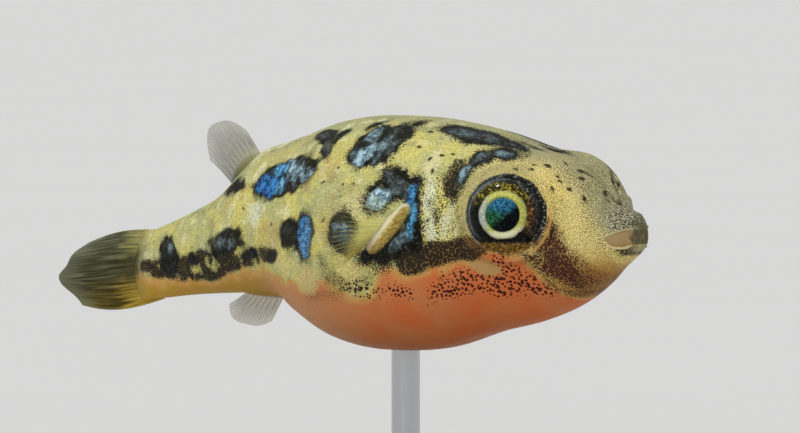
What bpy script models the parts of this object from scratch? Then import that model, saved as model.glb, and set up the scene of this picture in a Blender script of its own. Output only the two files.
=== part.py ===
"""A freshwater pea puffer, life size, held over a round base by one short rod.

The fish swims towards +X with its back up (+Z) and its left side towards +Y, and its tail sweeps to
its left. The origin is the centre of the base's underside. Sizes are millimetres until they are placed.

The flesh is one lofted form, parted by thin cuts into lips, head, trunk and tail stalk. A place on the
fish is given by how far it lies behind the front of the lips, how far it is to the fish's left, and its
height above the middle of the mouth.
"""

import math

import bmesh
import bpy
import numpy as np
from mathutils import Matrix, Vector

METRES_PER_MM = 0.001
COLLECTION = "pea_puffer"
CUTTERS = "cutters"

# Places along the fish, behind the front of the lips.
LIP_END = 0.95
GILL = 7.3
VENT = 15.9
TAIL_ROOT = 23.6
CUT = 0.15  # width of a thin cut between two parts

# The sweep of the tail, seen from above.
SWEEP_START = 12.0
SWEEP_DEGREES = 12.0

# Cross-sections of the flesh: height of the back, the belly and the widest level, half the width,
# and how square the upper and lower halves are (2 is an ellipse).
COLUMNS = ("behind", "top", "bottom", "level", "half_width", "top_square", "bottom_square")
SECTIONS = (
    (0.00, 0.64, -0.42, 0.08, 0.58, 2.4, 2.1),
    (0.25, 1.00, -0.64, 0.08, 0.94, 2.3, 2.0),
    (0.60, 1.16, -0.92, 0.08, 1.18, 2.1, 2.0),
    (1.00, 1.48, -1.24, 0.10, 1.44, 2.2, 2.0),
    (1.60, 2.38, -1.82, 0.20, 1.86, 2.5, 2.0),
    (2.60, 3.10, -2.52, 0.35, 2.40, 2.7, 2.0),
    (4.20, 3.34, -3.18, 0.45, 3.00, 2.6, 2.0),
    (6.20, 3.92, -3.68, 0.20, 3.48, 2.3, 2.1),
    (8.60, 4.36, -4.40, -0.30, 3.78, 2.1, 2.2),
    (11.0, 4.46, -4.56, -0.60, 3.84, 2.1, 2.2),
    (13.2, 4.22, -4.24, -0.50, 3.40, 2.0, 2.2),
    (15.0, 3.66, -3.44, -0.15, 2.62, 2.0, 2.1),
    (16.2, 3.30, -2.74, 0.10, 2.05, 2.0, 2.0),
    (17.2, 3.00, -2.64, 0.05, 1.76, 2.0, 2.0),
    (18.2, 2.24, -2.64, -0.22, 1.52, 2.0, 2.0),
    (19.4, 1.28, -2.70, -0.66, 1.24, 2.0, 2.0),
    (21.2, 0.48, -2.84, -1.16, 0.92, 2.0, 2.0),
    (23.6, -0.34, -3.12, -1.72, 0.55, 2.0, 2.0),
)

# The forehead: a shallow channel between two ridges that run from the brows down to the nostrils.
CHANNEL_DEPTH = 0.30
CHANNEL_HALF_WIDTH = 0.85
CHANNEL_FROM, CHANNEL_TO = 0.9, 5.0
NOSTRIL = (1.05, 1.02, 1.42)  # behind, to the side, height
NOSTRIL_RADIUS = 0.45
NOSTRIL_HEIGHT = 0.16

# The eyes: flattened balls in sockets, turned a little forwards and up.
EYE = (4.15, 2.79, 0.92)  # middle of the ball: behind, to the side, height
EYE_RADIUS = 1.50
EYE_HALF_DEPTH = 1.12
EYE_FORWARD_DEGREES = 26.0
EYE_UP_DEGREES = 5.0
EYE_CLEARANCE = 0.12
RIM_RADIUS = 2.55
RIM_HEIGHT = 0.36

MOUTH_GAPE = 0.26  # between the lips at their front

# Fins, each half a millimetre thick.
FIN_THICKNESS = 0.5
FIN_GAP = 0.12
CAUDAL_LENGTH = 5.9
CAUDAL_TIP = 0.16  # how much longer the rays of its pointed tip are, as a share
CAUDAL_PEAK = -0.08  # where its longest ray is, from -1 at the lower edge to 1 at the upper one
CAUDAL_PEAK_BELOW, CAUDAL_PEAK_ABOVE = 0.62, 0.33  # how far the tip spreads either way from it
CAUDAL_TIP_DROP = 0.70
CAUDAL_SWEEP_DEGREES = 4.0
DORSAL_FROM, DORSAL_TO = 17.45, 18.9
DORSAL_LENGTH = 2.6
ANAL_FROM, ANAL_TO = 16.3, 18.0
ANAL_LENGTH = 1.9
PECTORAL_TOP = (8.12, 1.06)  # behind, height
PECTORAL_FOOT = (9.72, -0.62)
PECTORAL_LENGTH = 2.7
PECTORAL_TOP_RISE, PECTORAL_FOOT_RISE = 27.0, -42.0  # degrees that its end rays rise backwards
PECTORAL_FLARE = 0.32  # how far it stands out for each millimetre back
LOBE_HALF_SIZES = (0.34, 0.27, 1.18)  # across the root, outwards, along the root

# The stand.
BELLY_HEIGHT = 9.0  # of the lowest point of the belly above the table
BASE_RADIUS = 9.0
BASE_THICKNESS = 2.2
BASE_BEVEL = 0.4
ROD_RADIUS = 0.55
ROD_BEHIND = 10.6  # where the rod enters the belly
ROD_DEPTH = 1.6  # how deep it sits in the belly
ROD_SEAT = 1.1  # how deep it sits in the base
ROD_CLEARANCE = 0.1

AROUND = 40  # points around a cross-section
EYE_SEGMENTS, EYE_RINGS = 24, 14
LOBE_SEGMENTS, LOBE_RINGS = 14, 10
FIN_STEPS_ALONG, FIN_STEPS_OUT = 10, 7

MATERIALS = {
    # name: (red, green, blue), roughness, metallic
    "skin": ((0.50, 0.44, 0.17), 0.42, 0.0),
    "lips": ((0.55, 0.42, 0.26), 0.38, 0.0),
    "fin": ((0.42, 0.40, 0.18), 0.35, 0.0),
    "eye": ((0.05, 0.16, 0.14), 0.08, 0.0),
    "rod": ((0.62, 0.63, 0.65), 0.28, 1.0),
    "base": ((0.03, 0.03, 0.032), 0.45, 0.0),
}


def clear_scene():
    for obj in list(bpy.data.objects):
        bpy.data.objects.remove(obj, do_unlink=True)


def new_collection(name):
    collection = bpy.data.collections.new(name)
    bpy.context.scene.collection.children.link(collection)
    return collection


def make_materials():
    made = {}
    for name, (colour, roughness, metallic) in MATERIALS.items():
        material = bpy.data.materials.new(name)
        material.use_nodes = True
        shader = material.node_tree.nodes["Principled BSDF"]
        shader.inputs["Base Color"].default_value = (*colour, 1.0)
        shader.inputs["Roughness"].default_value = roughness
        shader.inputs["Metallic"].default_value = metallic
        made[name] = material
    return made


# --- the form of the flesh -------------------------------------------------------------------------


def smooth_curve(xs, ys, x):
    """The value at x of a cubic through the points, with slopes that never overshoot them."""
    gaps = np.diff(xs)
    slopes = np.diff(ys) / gaps
    tangents = np.concatenate([slopes[:1], (slopes[1:] + slopes[:-1]) / 2, slopes[-1:]])
    for i, (before, after) in enumerate(zip(slopes[:-1], slopes[1:]), start=1):
        if before * after <= 0:
            tangents[i] = 0.0
        else:
            limit = 3 * min(abs(before), abs(after))
            tangents[i] = math.copysign(min(abs(tangents[i]), limit), before)
    i = int(np.clip(np.searchsorted(xs, x) - 1, 0, len(gaps) - 1))
    t = (x - xs[i]) / gaps[i]
    rise = ys[i + 1] - ys[i]
    start, end = tangents[i] * gaps[i], tangents[i + 1] * gaps[i]
    return ys[i] + t * (start + t * (3 * rise - 2 * start - end + t * (start + end - 2 * rise)))


def section(behind):
    """The cross-section this far behind the lips, as {column: value}."""
    table = np.array(SECTIONS).T
    return {
        name: smooth_curve(table[0], table[i], behind) for i, name in enumerate(COLUMNS) if i
    }


def fade(x, low, high):
    """0 below low, 1 above high, smooth between."""
    t = min(1.0, max(0.0, (x - low) / (high - low)))
    return t * t * (3 - 2 * t)


def bump(distance, radius):
    """1 at the middle of a round swelling, 0 from its radius outwards."""
    return (1 - fade(distance, 0.0, radius)) if distance < radius else 0.0


def eye_axis(side):
    """Which way an eye looks, as (behind, to the left, up)."""
    forward, up = math.radians(EYE_FORWARD_DEGREES), math.radians(EYE_UP_DEGREES)
    level = math.cos(up)
    return Vector((-math.sin(forward) * level, side * math.cos(forward) * level, math.sin(up)))


def flesh_point(behind, turn):
    """The surface point at this cross-section. A turn of 0 is the left flank and a quarter the back."""
    cut = section(behind)
    across, upward = math.cos(2 * math.pi * turn), math.sin(2 * math.pi * turn)
    square = cut["top_square"] if upward >= 0 else cut["bottom_square"]
    reach = (cut["top"] if upward >= 0 else cut["bottom"]) - cut["level"]
    left = cut["half_width"] * math.copysign(abs(across) ** (2 / square), across)
    height = cut["level"] + reach * abs(upward) ** (2 / square)
    point = Vector((behind, left, height))
    if upward > 0:
        depth = CHANNEL_DEPTH * fade(behind, CHANNEL_FROM, CHANNEL_FROM + 0.8)
        depth *= 1 - fade(behind, CHANNEL_TO - 2.5, CHANNEL_TO)
        point.z -= depth * bump(abs(left), CHANNEL_HALF_WIDTH)
    side = math.copysign(1.0, left)
    to_nostril = (point - Vector((NOSTRIL[0], side * NOSTRIL[1], NOSTRIL[2]))).length
    point += Vector((-0.5, 0.4 * side, 0.8)) * NOSTRIL_HEIGHT * bump(to_nostril, NOSTRIL_RADIUS)
    from_eye = point - Vector((EYE[0], side * EYE[1], EYE[2]))
    axis = eye_axis(side)
    if from_eye.dot(axis) > -1.5:
        off_axis = (from_eye - axis * from_eye.dot(axis)).length
        flat = 0.7 * EYE_RADIUS
        point += axis * RIM_HEIGHT * bump(max(0.0, off_axis - flat), RIM_RADIUS - flat)
    return point


def sweep_point(behind):
    """(x, y, heading) of the backbone, seen from above, where behind counts along it."""
    full = math.radians(SWEEP_DEGREES)
    x, y, steps = 0.0, 0.0, 60
    if behind <= SWEEP_START:
        return ROD_BEHIND - behind, 0.0, 0.0
    step = (behind - SWEEP_START) / steps
    span = TAIL_ROOT - SWEEP_START
    for i in range(steps):
        heading = full * fade((i + 0.5) * step, 0.0, span)
        x -= step * math.cos(heading)
        y += step * math.sin(heading)
    return ROD_BEHIND - SWEEP_START + x, y, full * fade(behind - SWEEP_START, 0.0, span)


def belly_low():
    return min(section(behind)["bottom"] for behind in np.linspace(8.0, 14.0, 61))


def place(point):
    """A point on the fish as it is posed on the stand, in metres."""
    x, y, heading = sweep_point(point[0])
    left = point[1]
    return Vector((
        x + left * math.sin(heading),
        y + left * math.cos(heading),
        point[2] + BELLY_HEIGHT - belly_low(),
    )) * METRES_PER_MM


# --- making objects --------------------------------------------------------------------------------


def add_object(name, mesh, collection, material, smooth_degrees=40):
    mesh.shade_smooth()
    mesh.set_sharp_from_angle(angle=math.radians(smooth_degrees))
    mesh.materials.append(material)
    obj = bpy.data.objects.new(name, mesh)
    collection.objects.link(obj)
    return obj


def finish_bmesh(name, work):
    bmesh.ops.recalc_face_normals(work, faces=work.faces)
    mesh = bpy.data.meshes.new(name)
    work.to_mesh(mesh)
    work.free()
    return mesh


def loft(name, rings):
    """A closed mesh through rings of equally many points, with both ends capped."""
    work = bmesh.new()
    rows = [[work.verts.new(point) for point in ring] for ring in rings]
    count = len(rows[0])
    for front, back in zip(rows[:-1], rows[1:]):
        for i in range(count):
            j = (i + 1) % count
            work.faces.new((front[i], front[j], back[j], back[i]))
    for row in (rows[0], rows[-1]):
        middle = work.verts.new(sum((v.co for v in row), Vector()) / count)
        for i in range(count):
            work.faces.new((row[i], row[(i + 1) % count], middle))
    return finish_bmesh(name, work)


def flesh_loft(name, start, end, spacing):
    """The flesh from start to end, with rings about this far apart."""
    count = max(2, round((end - start) / spacing)) + 1
    return loft(name, [
        [place(flesh_point(behind, i / AROUND)) for i in range(AROUND)]
        for behind in np.linspace(start, end, count)
    ])


def lip_loft(name, upper):
    """One lip: half of the muzzle's section, closed by a chord along the mouth."""
    first, last, chord_points = (0.0, 0.5, 7) if upper else (0.5, 1.0, 7)
    rings = []
    for behind in (0.0, 0.08, 0.25, 0.5, 0.8, LIP_END - CUT / 2):
        shift = MOUTH_GAPE / 2 * (1 if upper else -1) * (1 - 0.35 * behind / LIP_END)
        arc = [flesh_point(behind, t) for t in np.linspace(first, last, 19)]
        ends = arc[-1], arc[0]
        chord = [ends[0].lerp(ends[1], i / (chord_points + 1)) for i in range(1, chord_points + 1)]
        rings.append([place(p + Vector((0, 0, shift))) for p in arc + chord])
    return loft(name, rings)


def subtract(obj, cutter, name):
    modifier = obj.modifiers.new(name, "BOOLEAN")
    modifier.operation = "DIFFERENCE"
    modifier.solver = "EXACT"
    modifier.object = cutter


def hide_cutter(obj):
    obj.hide_render = True
    obj.display_type = "WIRE"


def ball(name, half_sizes, matrix, segments, rings, collection, material):
    """A ball with these half-sizes along its own axes, turned and placed by the matrix."""
    work = bmesh.new()
    bmesh.ops.create_uvsphere(
        work, u_segments=segments, v_segments=rings, radius=1.0,
        matrix=Matrix.Diagonal((*half_sizes, 1.0)),
    )
    obj = add_object(name, finish_bmesh(name, work), collection, material, 60)
    obj.matrix_world = matrix
    return obj


def cylinder(name, radius, low, high, segments, collection, material):
    bpy.ops.mesh.primitive_cylinder_add(
        vertices=segments, radius=radius * METRES_PER_MM, depth=(high - low) * METRES_PER_MM,
        location=(0, 0, (low + high) / 2 * METRES_PER_MM),
    )
    obj = bpy.context.object
    obj.name = name
    for owner in obj.users_collection:
        owner.objects.unlink(obj)
    collection.objects.link(obj)
    obj.data.shade_smooth()
    obj.data.set_sharp_from_angle(angle=math.radians(40))
    obj.data.materials.append(material)
    return obj


# --- the parts of the fish -------------------------------------------------------------------------


def make_flesh(parts, materials):
    flesh = {
        "head": flesh_loft("head", LIP_END + CUT / 2, GILL - CUT / 2, 0.42),
        "trunk": flesh_loft("trunk", GILL + CUT / 2, VENT - CUT / 2, 0.62),
        "tail_stalk": flesh_loft("tail_stalk", VENT + CUT / 2, TAIL_ROOT - CUT / 2, 0.72),
    }
    made = {name: add_object(name, mesh, parts, materials["skin"]) for name, mesh in flesh.items()}
    for name, upper in (("upper_lip", True), ("lower_lip", False)):
        add_object(name, lip_loft(name, upper), parts, materials["lips"])
    return made


def make_eye(side_name, side, head, parts, cutters, materials):
    """An eye, and the socket that holds it in the head."""
    middle = Vector((EYE[0], side * EYE[1], EYE[2]))
    axis = eye_axis(side)
    looks = Vector((-axis.x, axis.y, axis.z))
    matrix = Matrix.Translation(place(middle)) @ looks.to_track_quat("Z", "Y").to_matrix().to_4x4()
    sizes = [size * METRES_PER_MM for size in (EYE_RADIUS, EYE_RADIUS, EYE_HALF_DEPTH)]
    ball(f"eye_{side_name}", sizes, matrix, EYE_SEGMENTS, EYE_RINGS, parts, materials["eye"])
    wider = [size + EYE_CLEARANCE * METRES_PER_MM for size in sizes]
    socket = ball(
        f"socket_{side_name}", wider, matrix, EYE_SEGMENTS, EYE_RINGS, cutters, materials["eye"],
    )
    hide_cutter(socket)
    subtract(head, socket, "eye socket")


def fin(name, surface, collection, material):
    """A fin from its middle surface: surface(along, out) gives a placed point for shares of 0 to 1."""
    work = bmesh.new()
    bmesh.ops.create_grid(work, x_segments=FIN_STEPS_ALONG, y_segments=FIN_STEPS_OUT, size=1.0)
    for vert in work.verts:
        vert.co = surface((vert.co.x + 1) / 2, (vert.co.y + 1) / 2)
    mesh = finish_bmesh(name, work)
    obj = add_object(name, mesh, collection, material)
    thicken = obj.modifiers.new("thickness", "SOLIDIFY")
    thicken.thickness = FIN_THICKNESS * METRES_PER_MM
    thicken.offset = 0.0
    return obj


def caudal_surface(along, out):
    """along runs from the lower edge to the upper one, out from the root to the tip."""
    root = section(TAIL_ROOT)
    low, high = root["bottom"] + 0.12, root["top"] - 0.12
    spread = 2 * along - 1
    reach_of_tip = CAUDAL_PEAK_ABOVE if spread > CAUDAL_PEAK else CAUDAL_PEAK_BELOW
    tip = CAUDAL_TIP * math.exp(-(((spread - CAUDAL_PEAK) / reach_of_tip) ** 2))
    length = CAUDAL_LENGTH * (1 - 0.20 * spread**2 - 0.05 * spread + tip)
    swell = 0.17 * math.sin(math.pi * out)
    middle = (low + high) / 2 - CAUDAL_TIP_DROP * out
    taper = 0.03 if spread > 0 else -0.12
    height = middle + spread * (high - low) / 2 * (1 + swell + taper * out**3)
    x, y, heading = sweep_point(TAIL_ROOT)
    heading += math.radians(CAUDAL_SWEEP_DEGREES) * out
    reach = FIN_GAP + length * out
    return Vector((
        x - reach * math.cos(heading),
        y + reach * math.sin(heading),
        height + BELLY_HEIGHT - belly_low(),
    )) * METRES_PER_MM


def dorsal_surface(along, out):
    """along runs from the fin's front ray to its last, which is the shortest."""
    behind = DORSAL_FROM + (DORSAL_TO - DORSAL_FROM) * along
    root = section(behind)["top"] + FIN_GAP
    lean = math.radians(55 - 10 * along)
    reach = DORSAL_LENGTH * (0.25 + 0.75 * math.sin(math.pi * (0.10 + 0.75 * along))) * out
    return place(Vector((behind + reach * math.cos(lean), 0.0, root + reach * math.sin(lean))))


def anal_surface(along, out):
    behind = ANAL_FROM + (ANAL_TO - ANAL_FROM) * along
    root = section(behind)["bottom"] - FIN_GAP
    lean = math.radians(62 - 24 * along)
    reach = ANAL_LENGTH * (0.25 + 0.75 * math.sin(math.pi * (0.18 + 0.66 * along))) * out
    return place(Vector((behind + reach * math.cos(lean), 0.0, root - reach * math.sin(lean))))


def pectoral_root(along):
    """A point on the flank under the fin's root, as (behind, half width there, height)."""
    behind = PECTORAL_TOP[0] + (PECTORAL_FOOT[0] - PECTORAL_TOP[0]) * along
    height = PECTORAL_TOP[1] + (PECTORAL_FOOT[1] - PECTORAL_TOP[1]) * along
    cut = section(behind)
    upper = height > cut["level"]
    reach = (cut["top"] if upper else cut["bottom"]) - cut["level"]
    square = cut["top_square"] if upper else cut["bottom_square"]
    share = (height - cut["level"]) / reach
    return behind, cut["half_width"] * (1 - share**square) ** (1 / square), height


def pectoral_surface(side):
    """The fan of one pectoral fin: along runs from its top ray to its lowest."""
    run, drop = PECTORAL_FOOT[0] - PECTORAL_TOP[0], PECTORAL_FOOT[1] - PECTORAL_TOP[1]
    across = Vector((-drop, 0.0, run)).normalized()  # square to the root, back and up

    def surface(along, out):
        behind, half_width, height = pectoral_root(along)
        rise = math.radians(PECTORAL_TOP_RISE + (PECTORAL_FOOT_RISE - PECTORAL_TOP_RISE) * along)
        reach = PECTORAL_LENGTH * (0.86 + 0.14 * math.sin(math.pi * along)) * out
        start = LOBE_HALF_SIZES[0] + FIN_GAP
        stand_out = LOBE_HALF_SIZES[1] + FIN_GAP + reach * PECTORAL_FLARE
        return place(Vector((
            behind + across.x * start + reach * math.cos(rise),
            side * (half_width + stand_out),
            height + across.z * start + reach * math.sin(rise),
        )))

    return surface


def make_pectoral_base(side_name, side, collection, material):
    """The fleshy lobe that the pectoral fin's rays grow from."""
    top, middle, foot = (
        place(Vector((behind, side * (half_width + LOBE_HALF_SIZES[1] + FIN_GAP), height)))
        for behind, half_width, height in map(pectoral_root, (0.0, 0.5, 1.0))
    )
    root = (top - foot).normalized()
    outwards = Vector((0.0, side, 0.0))
    outwards = (outwards - root * outwards.dot(root)).normalized()
    turned = Matrix((outwards.cross(root), outwards, root)).transposed().to_4x4()
    sizes = [size * METRES_PER_MM for size in LOBE_HALF_SIZES]
    matrix = Matrix.Translation(middle) @ turned
    ball(f"pectoral_base_{side_name}", sizes, matrix, LOBE_SEGMENTS, LOBE_RINGS, collection, material)


def make_fins(parts, materials):
    fin("caudal_fin", caudal_surface, parts, materials["fin"])
    fin("dorsal_fin", dorsal_surface, parts, materials["fin"])
    fin("anal_fin", anal_surface, parts, materials["fin"])
    for side_name, side in (("left", 1.0), ("right", -1.0)):
        make_pectoral_base(side_name, side, parts, materials["skin"])
        fin(f"pectoral_fin_{side_name}", pectoral_surface(side), parts, materials["fin"])


def make_stand(trunk, parts, cutters, materials):
    """The base with the rod set in it, and the hole in the belly that takes the rod's top."""
    rod_top = BELLY_HEIGHT + ROD_DEPTH
    rod_foot = BASE_THICKNESS - ROD_SEAT
    base = cylinder("stand_base", BASE_RADIUS, 0.0, BASE_THICKNESS, 64, parts, materials["base"])
    edge = base.modifiers.new("rounded edge", "BEVEL")
    edge.width = BASE_BEVEL * METRES_PER_MM
    edge.segments = 3
    cylinder("stand_rod", ROD_RADIUS, rod_foot, rod_top, 24, parts, materials["rod"])
    hole_radius = ROD_RADIUS + ROD_CLEARANCE
    seat = cylinder(
        "rod_seat", hole_radius, rod_foot - ROD_CLEARANCE, BASE_THICKNESS + 1, 24,
        cutters, materials["rod"],
    )
    hole = cylinder(
        "rod_hole", hole_radius, BELLY_HEIGHT - 1, rod_top + ROD_CLEARANCE, 24, cutters, materials["rod"],
    )
    for cutter in (seat, hole):
        hide_cutter(cutter)
    subtract(base, seat, "rod seat")
    subtract(trunk, hole, "rod hole")


def main():
    clear_scene()
    parts, cutters = new_collection(COLLECTION), new_collection(CUTTERS)
    materials = make_materials()
    flesh = make_flesh(parts, materials)
    for side_name, side in (("left", 1.0), ("right", -1.0)):
        make_eye(side_name, side, flesh["head"], parts, cutters, materials)
    make_fins(parts, materials)
    make_stand(flesh["trunk"], parts, cutters, materials)


main()
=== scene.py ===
"""The looks of the pea puffer: one skin over its whole body, its eyes, its fins and its stand.

Sizes are millimetres in the fish's own space until they are placed. A place in that space is how far it
lies behind the front of the lips, how far to the fish's left, and how high above the middle of the mouth.
A place on the skin is how far behind the lips it lies and its girth: the distance down the skin from the
middle of the back, positive on the left side and negative on the right.
"""

import math

import bmesh
import bpy
import numpy as np
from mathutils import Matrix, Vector


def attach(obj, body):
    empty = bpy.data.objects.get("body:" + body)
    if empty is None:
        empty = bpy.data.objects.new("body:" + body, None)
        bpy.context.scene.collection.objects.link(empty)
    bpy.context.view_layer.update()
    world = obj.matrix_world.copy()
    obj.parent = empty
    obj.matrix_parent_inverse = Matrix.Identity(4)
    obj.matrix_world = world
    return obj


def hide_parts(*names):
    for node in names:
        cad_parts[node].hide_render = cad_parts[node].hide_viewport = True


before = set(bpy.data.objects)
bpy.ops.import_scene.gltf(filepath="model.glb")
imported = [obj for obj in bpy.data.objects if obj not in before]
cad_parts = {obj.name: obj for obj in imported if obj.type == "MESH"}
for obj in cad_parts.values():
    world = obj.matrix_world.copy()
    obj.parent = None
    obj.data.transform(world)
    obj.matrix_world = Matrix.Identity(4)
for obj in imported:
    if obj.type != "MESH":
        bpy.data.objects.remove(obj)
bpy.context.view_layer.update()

MM = 0.001
FAR = 9.0  # stands for any distance too large to matter

# --- the form of the flesh, as the solids have it ---

TAIL_ROOT = 23.6
SWEEP_START, SWEEP_DEGREES = 12.0, 12.0
ROD_BEHIND = 10.6
BELLY_HEIGHT = 9.0

COLUMNS = ("behind", "top", "bottom", "level", "half_width", "top_square", "bottom_square")
SECTIONS = (
    (0, 0.64, -0.42, 0.08, 0.58, 2.4, 2.1), (0.25, 1, -0.64, 0.08, 0.94, 2.3, 2),
    (0.6, 1.16, -0.92, 0.08, 1.18, 2.1, 2), (1, 1.48, -1.24, 0.1, 1.44, 2.2, 2),
    (1.6, 2.38, -1.82, 0.2, 1.86, 2.5, 2), (2.6, 3.1, -2.52, 0.35, 2.4, 2.7, 2),
    (4.2, 3.34, -3.18, 0.45, 3, 2.6, 2), (6.2, 3.92, -3.68, 0.2, 3.48, 2.3, 2.1),
    (8.6, 4.36, -4.4, -0.3, 3.78, 2.1, 2.2), (11, 4.46, -4.56, -0.6, 3.84, 2.1, 2.2),
    (13.2, 4.22, -4.24, -0.5, 3.4, 2, 2.2), (15, 3.66, -3.44, -0.15, 2.62, 2, 2.1),
    (16.2, 3.3, -2.74, 0.1, 2.05, 2, 2), (17.2, 3, -2.64, 0.05, 1.76, 2, 2),
    (18.2, 2.24, -2.64, -0.22, 1.52, 2, 2), (19.4, 1.28, -2.7, -0.66, 1.24, 2, 2),
    (21.2, 0.48, -2.84, -1.16, 0.92, 2, 2), (23.6, -0.34, -3.12, -1.72, 0.55, 2, 2),
)
CHANNEL_DEPTH, CHANNEL_HALF_WIDTH = 0.3, 0.85
CHANNEL_FROM, CHANNEL_TO = 0.9, 5.0
NOSTRIL = (1.05, 1.02, 1.42)
NOSTRIL_RADIUS, NOSTRIL_HEIGHT, NOSTRIL_LEAN = 0.45, 0.16, (-0.5, 0.4, 0.8)
EYE = (4.15, 2.79, 0.92)
EYE_RADIUS, EYE_HALF_DEPTH = 1.5, 1.12
EYE_FORWARD_DEGREES, EYE_UP_DEGREES = 26.0, 5.0
EYE_BACK = -1.5  # flesh this far in along the eye's axis belongs to the other side
RIM_RADIUS, RIM_HEIGHT = 2.55, 0.36
PECTORAL_TOP, PECTORAL_FOOT = (8.12, 1.06), (9.72, -0.62)

# --- what the skin adds ---

MOUTH_LEVEL = 0.08
LID_RADIUS = 1.4  # of the round opening that shows the eye
LOBE_HALF_WIDTH, LOBE_HEIGHT = 0.31, 0.42  # of the fleshy base of a pectoral fin

# The smooth inner lip, seen from the side: behind, its upper edge, its lower edge.
INNER_LIP = (
    (-0.3, 0.4, -0.12), (0.04, 0.39, -0.2), (0.28, 0.33, -0.27), (0.52, 0.22, -0.25),
    (0.68, 0.15, -0.1), (0.78, 0.08, 0.04),
)
MOUTH_CORNER = 0.78  # behind the front ring of the lips

# The crease under the forehead: behind and distance from the midline, from the top of the lip back.
FOREHEAD_CREASE = ((0.84, 0.0), (0.88, 0.14), (1.1, 0.26), (1.42, 0.42), (1.66, 0.7), (1.95, 1.05))

# Rings of the skin: (from, to, spacing) along the body, and points round each ring.
RING_RUNS = ((0.0, 1.4, 0.028), (1.4, 7.0, 0.046), (7.0, 10.5, 0.06), (10.5, 23.6, 0.17))
AROUND = 296
FRONT_RINGS, FRONT_BULGE, FRONT_SQUARE = 18, 0.02, 2.6
REAR_LENGTH, REAR_RINGS, REAR_ROUNDING = 1.35, 18, 0.42
REAR_DROP, REAR_GROWTH = 0.15, 0.08  # so that the flesh follows the edges of the tail fin
REAR_THINNING = (0.49, 0.5)  # at first and then faster, down to the fin's own thickness

# Dark blotches on the right side: behind, girth, half the length and width, and the slope of the long
# axis in degrees. A positive slope runs down towards the tail.
BLOTCHES = (
    # the back
    (10.55, 2.7, 1.1, 0.72, 80), (9.62, 2.3, 1, 0.6, 80), (9.9, 3.3, 0.52, 0.38, 0),
    (10.95, 3.3, 0.52, 0.42, 0), (9.2, 1.25, 0.32, 0.22, 70), (10.95, 1.5, 0.42, 0.24, 60),
    (14.65, 3, 2, 0.8, -20), (13.15, 1.75, 0.95, 0.38, -38), (12.35, 2.05, 0.45, 0.22, 50),
    (12.65, 2.8, 0.48, 0.28, -60), (18, 1.5, 0.95, 0.24, -40),
    # the nape and the arc over the eye
    (7.35, 1.22, 0.78, 0.5, 5), (6.6, 1.34, 0.86, 0.64, 5), (5.7, 1.14, 0.76, 0.5, -15),
    (4.9, 1.06, 0.64, 0.36, -15), (4.28, 0.55, 0.45, 0.16, -10), (4.85, 1.93, 0.7, 0.38, 22),
    (5.45, 2.55, 0.58, 0.36, 54), (5.88, 3.5, 0.6, 0.24, 70), (6.1, 4.25, 0.24, 0.14, 75),
    # the hook round the pectoral fin
    (9.4, 5.02, 0.78, 0.46, 30), (8.75, 4.32, 0.78, 0.56, -8), (8.1, 4.25, 0.42, 0.34, 40),
    (7.84, 5.1, 1, 0.36, 92), (7.75, 6.2, 0.72, 0.4, 85), (8.45, 6.7, 1.15, 0.4, 46),
    (9.75, 7.25, 0.42, 0.28, 8),
    # behind the fin
    (10.88, 6.35, 0.8, 0.66, 84), (13.78, 5.68, 0.98, 0.5, -42), (12.88, 6.18, 1.02, 0.46, 96),
    # the tail
    (18.1, 3.65, 1.38, 0.44, -37), (16.65, 5.1, 0.62, 0.26, -25), (15.1, 5.85, 0.42, 0.22, -25),
    (20.35, 2.64, 0.5, 0.28, -30), (22, 1.86, 1.02, 0.58, -56),
)

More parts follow.
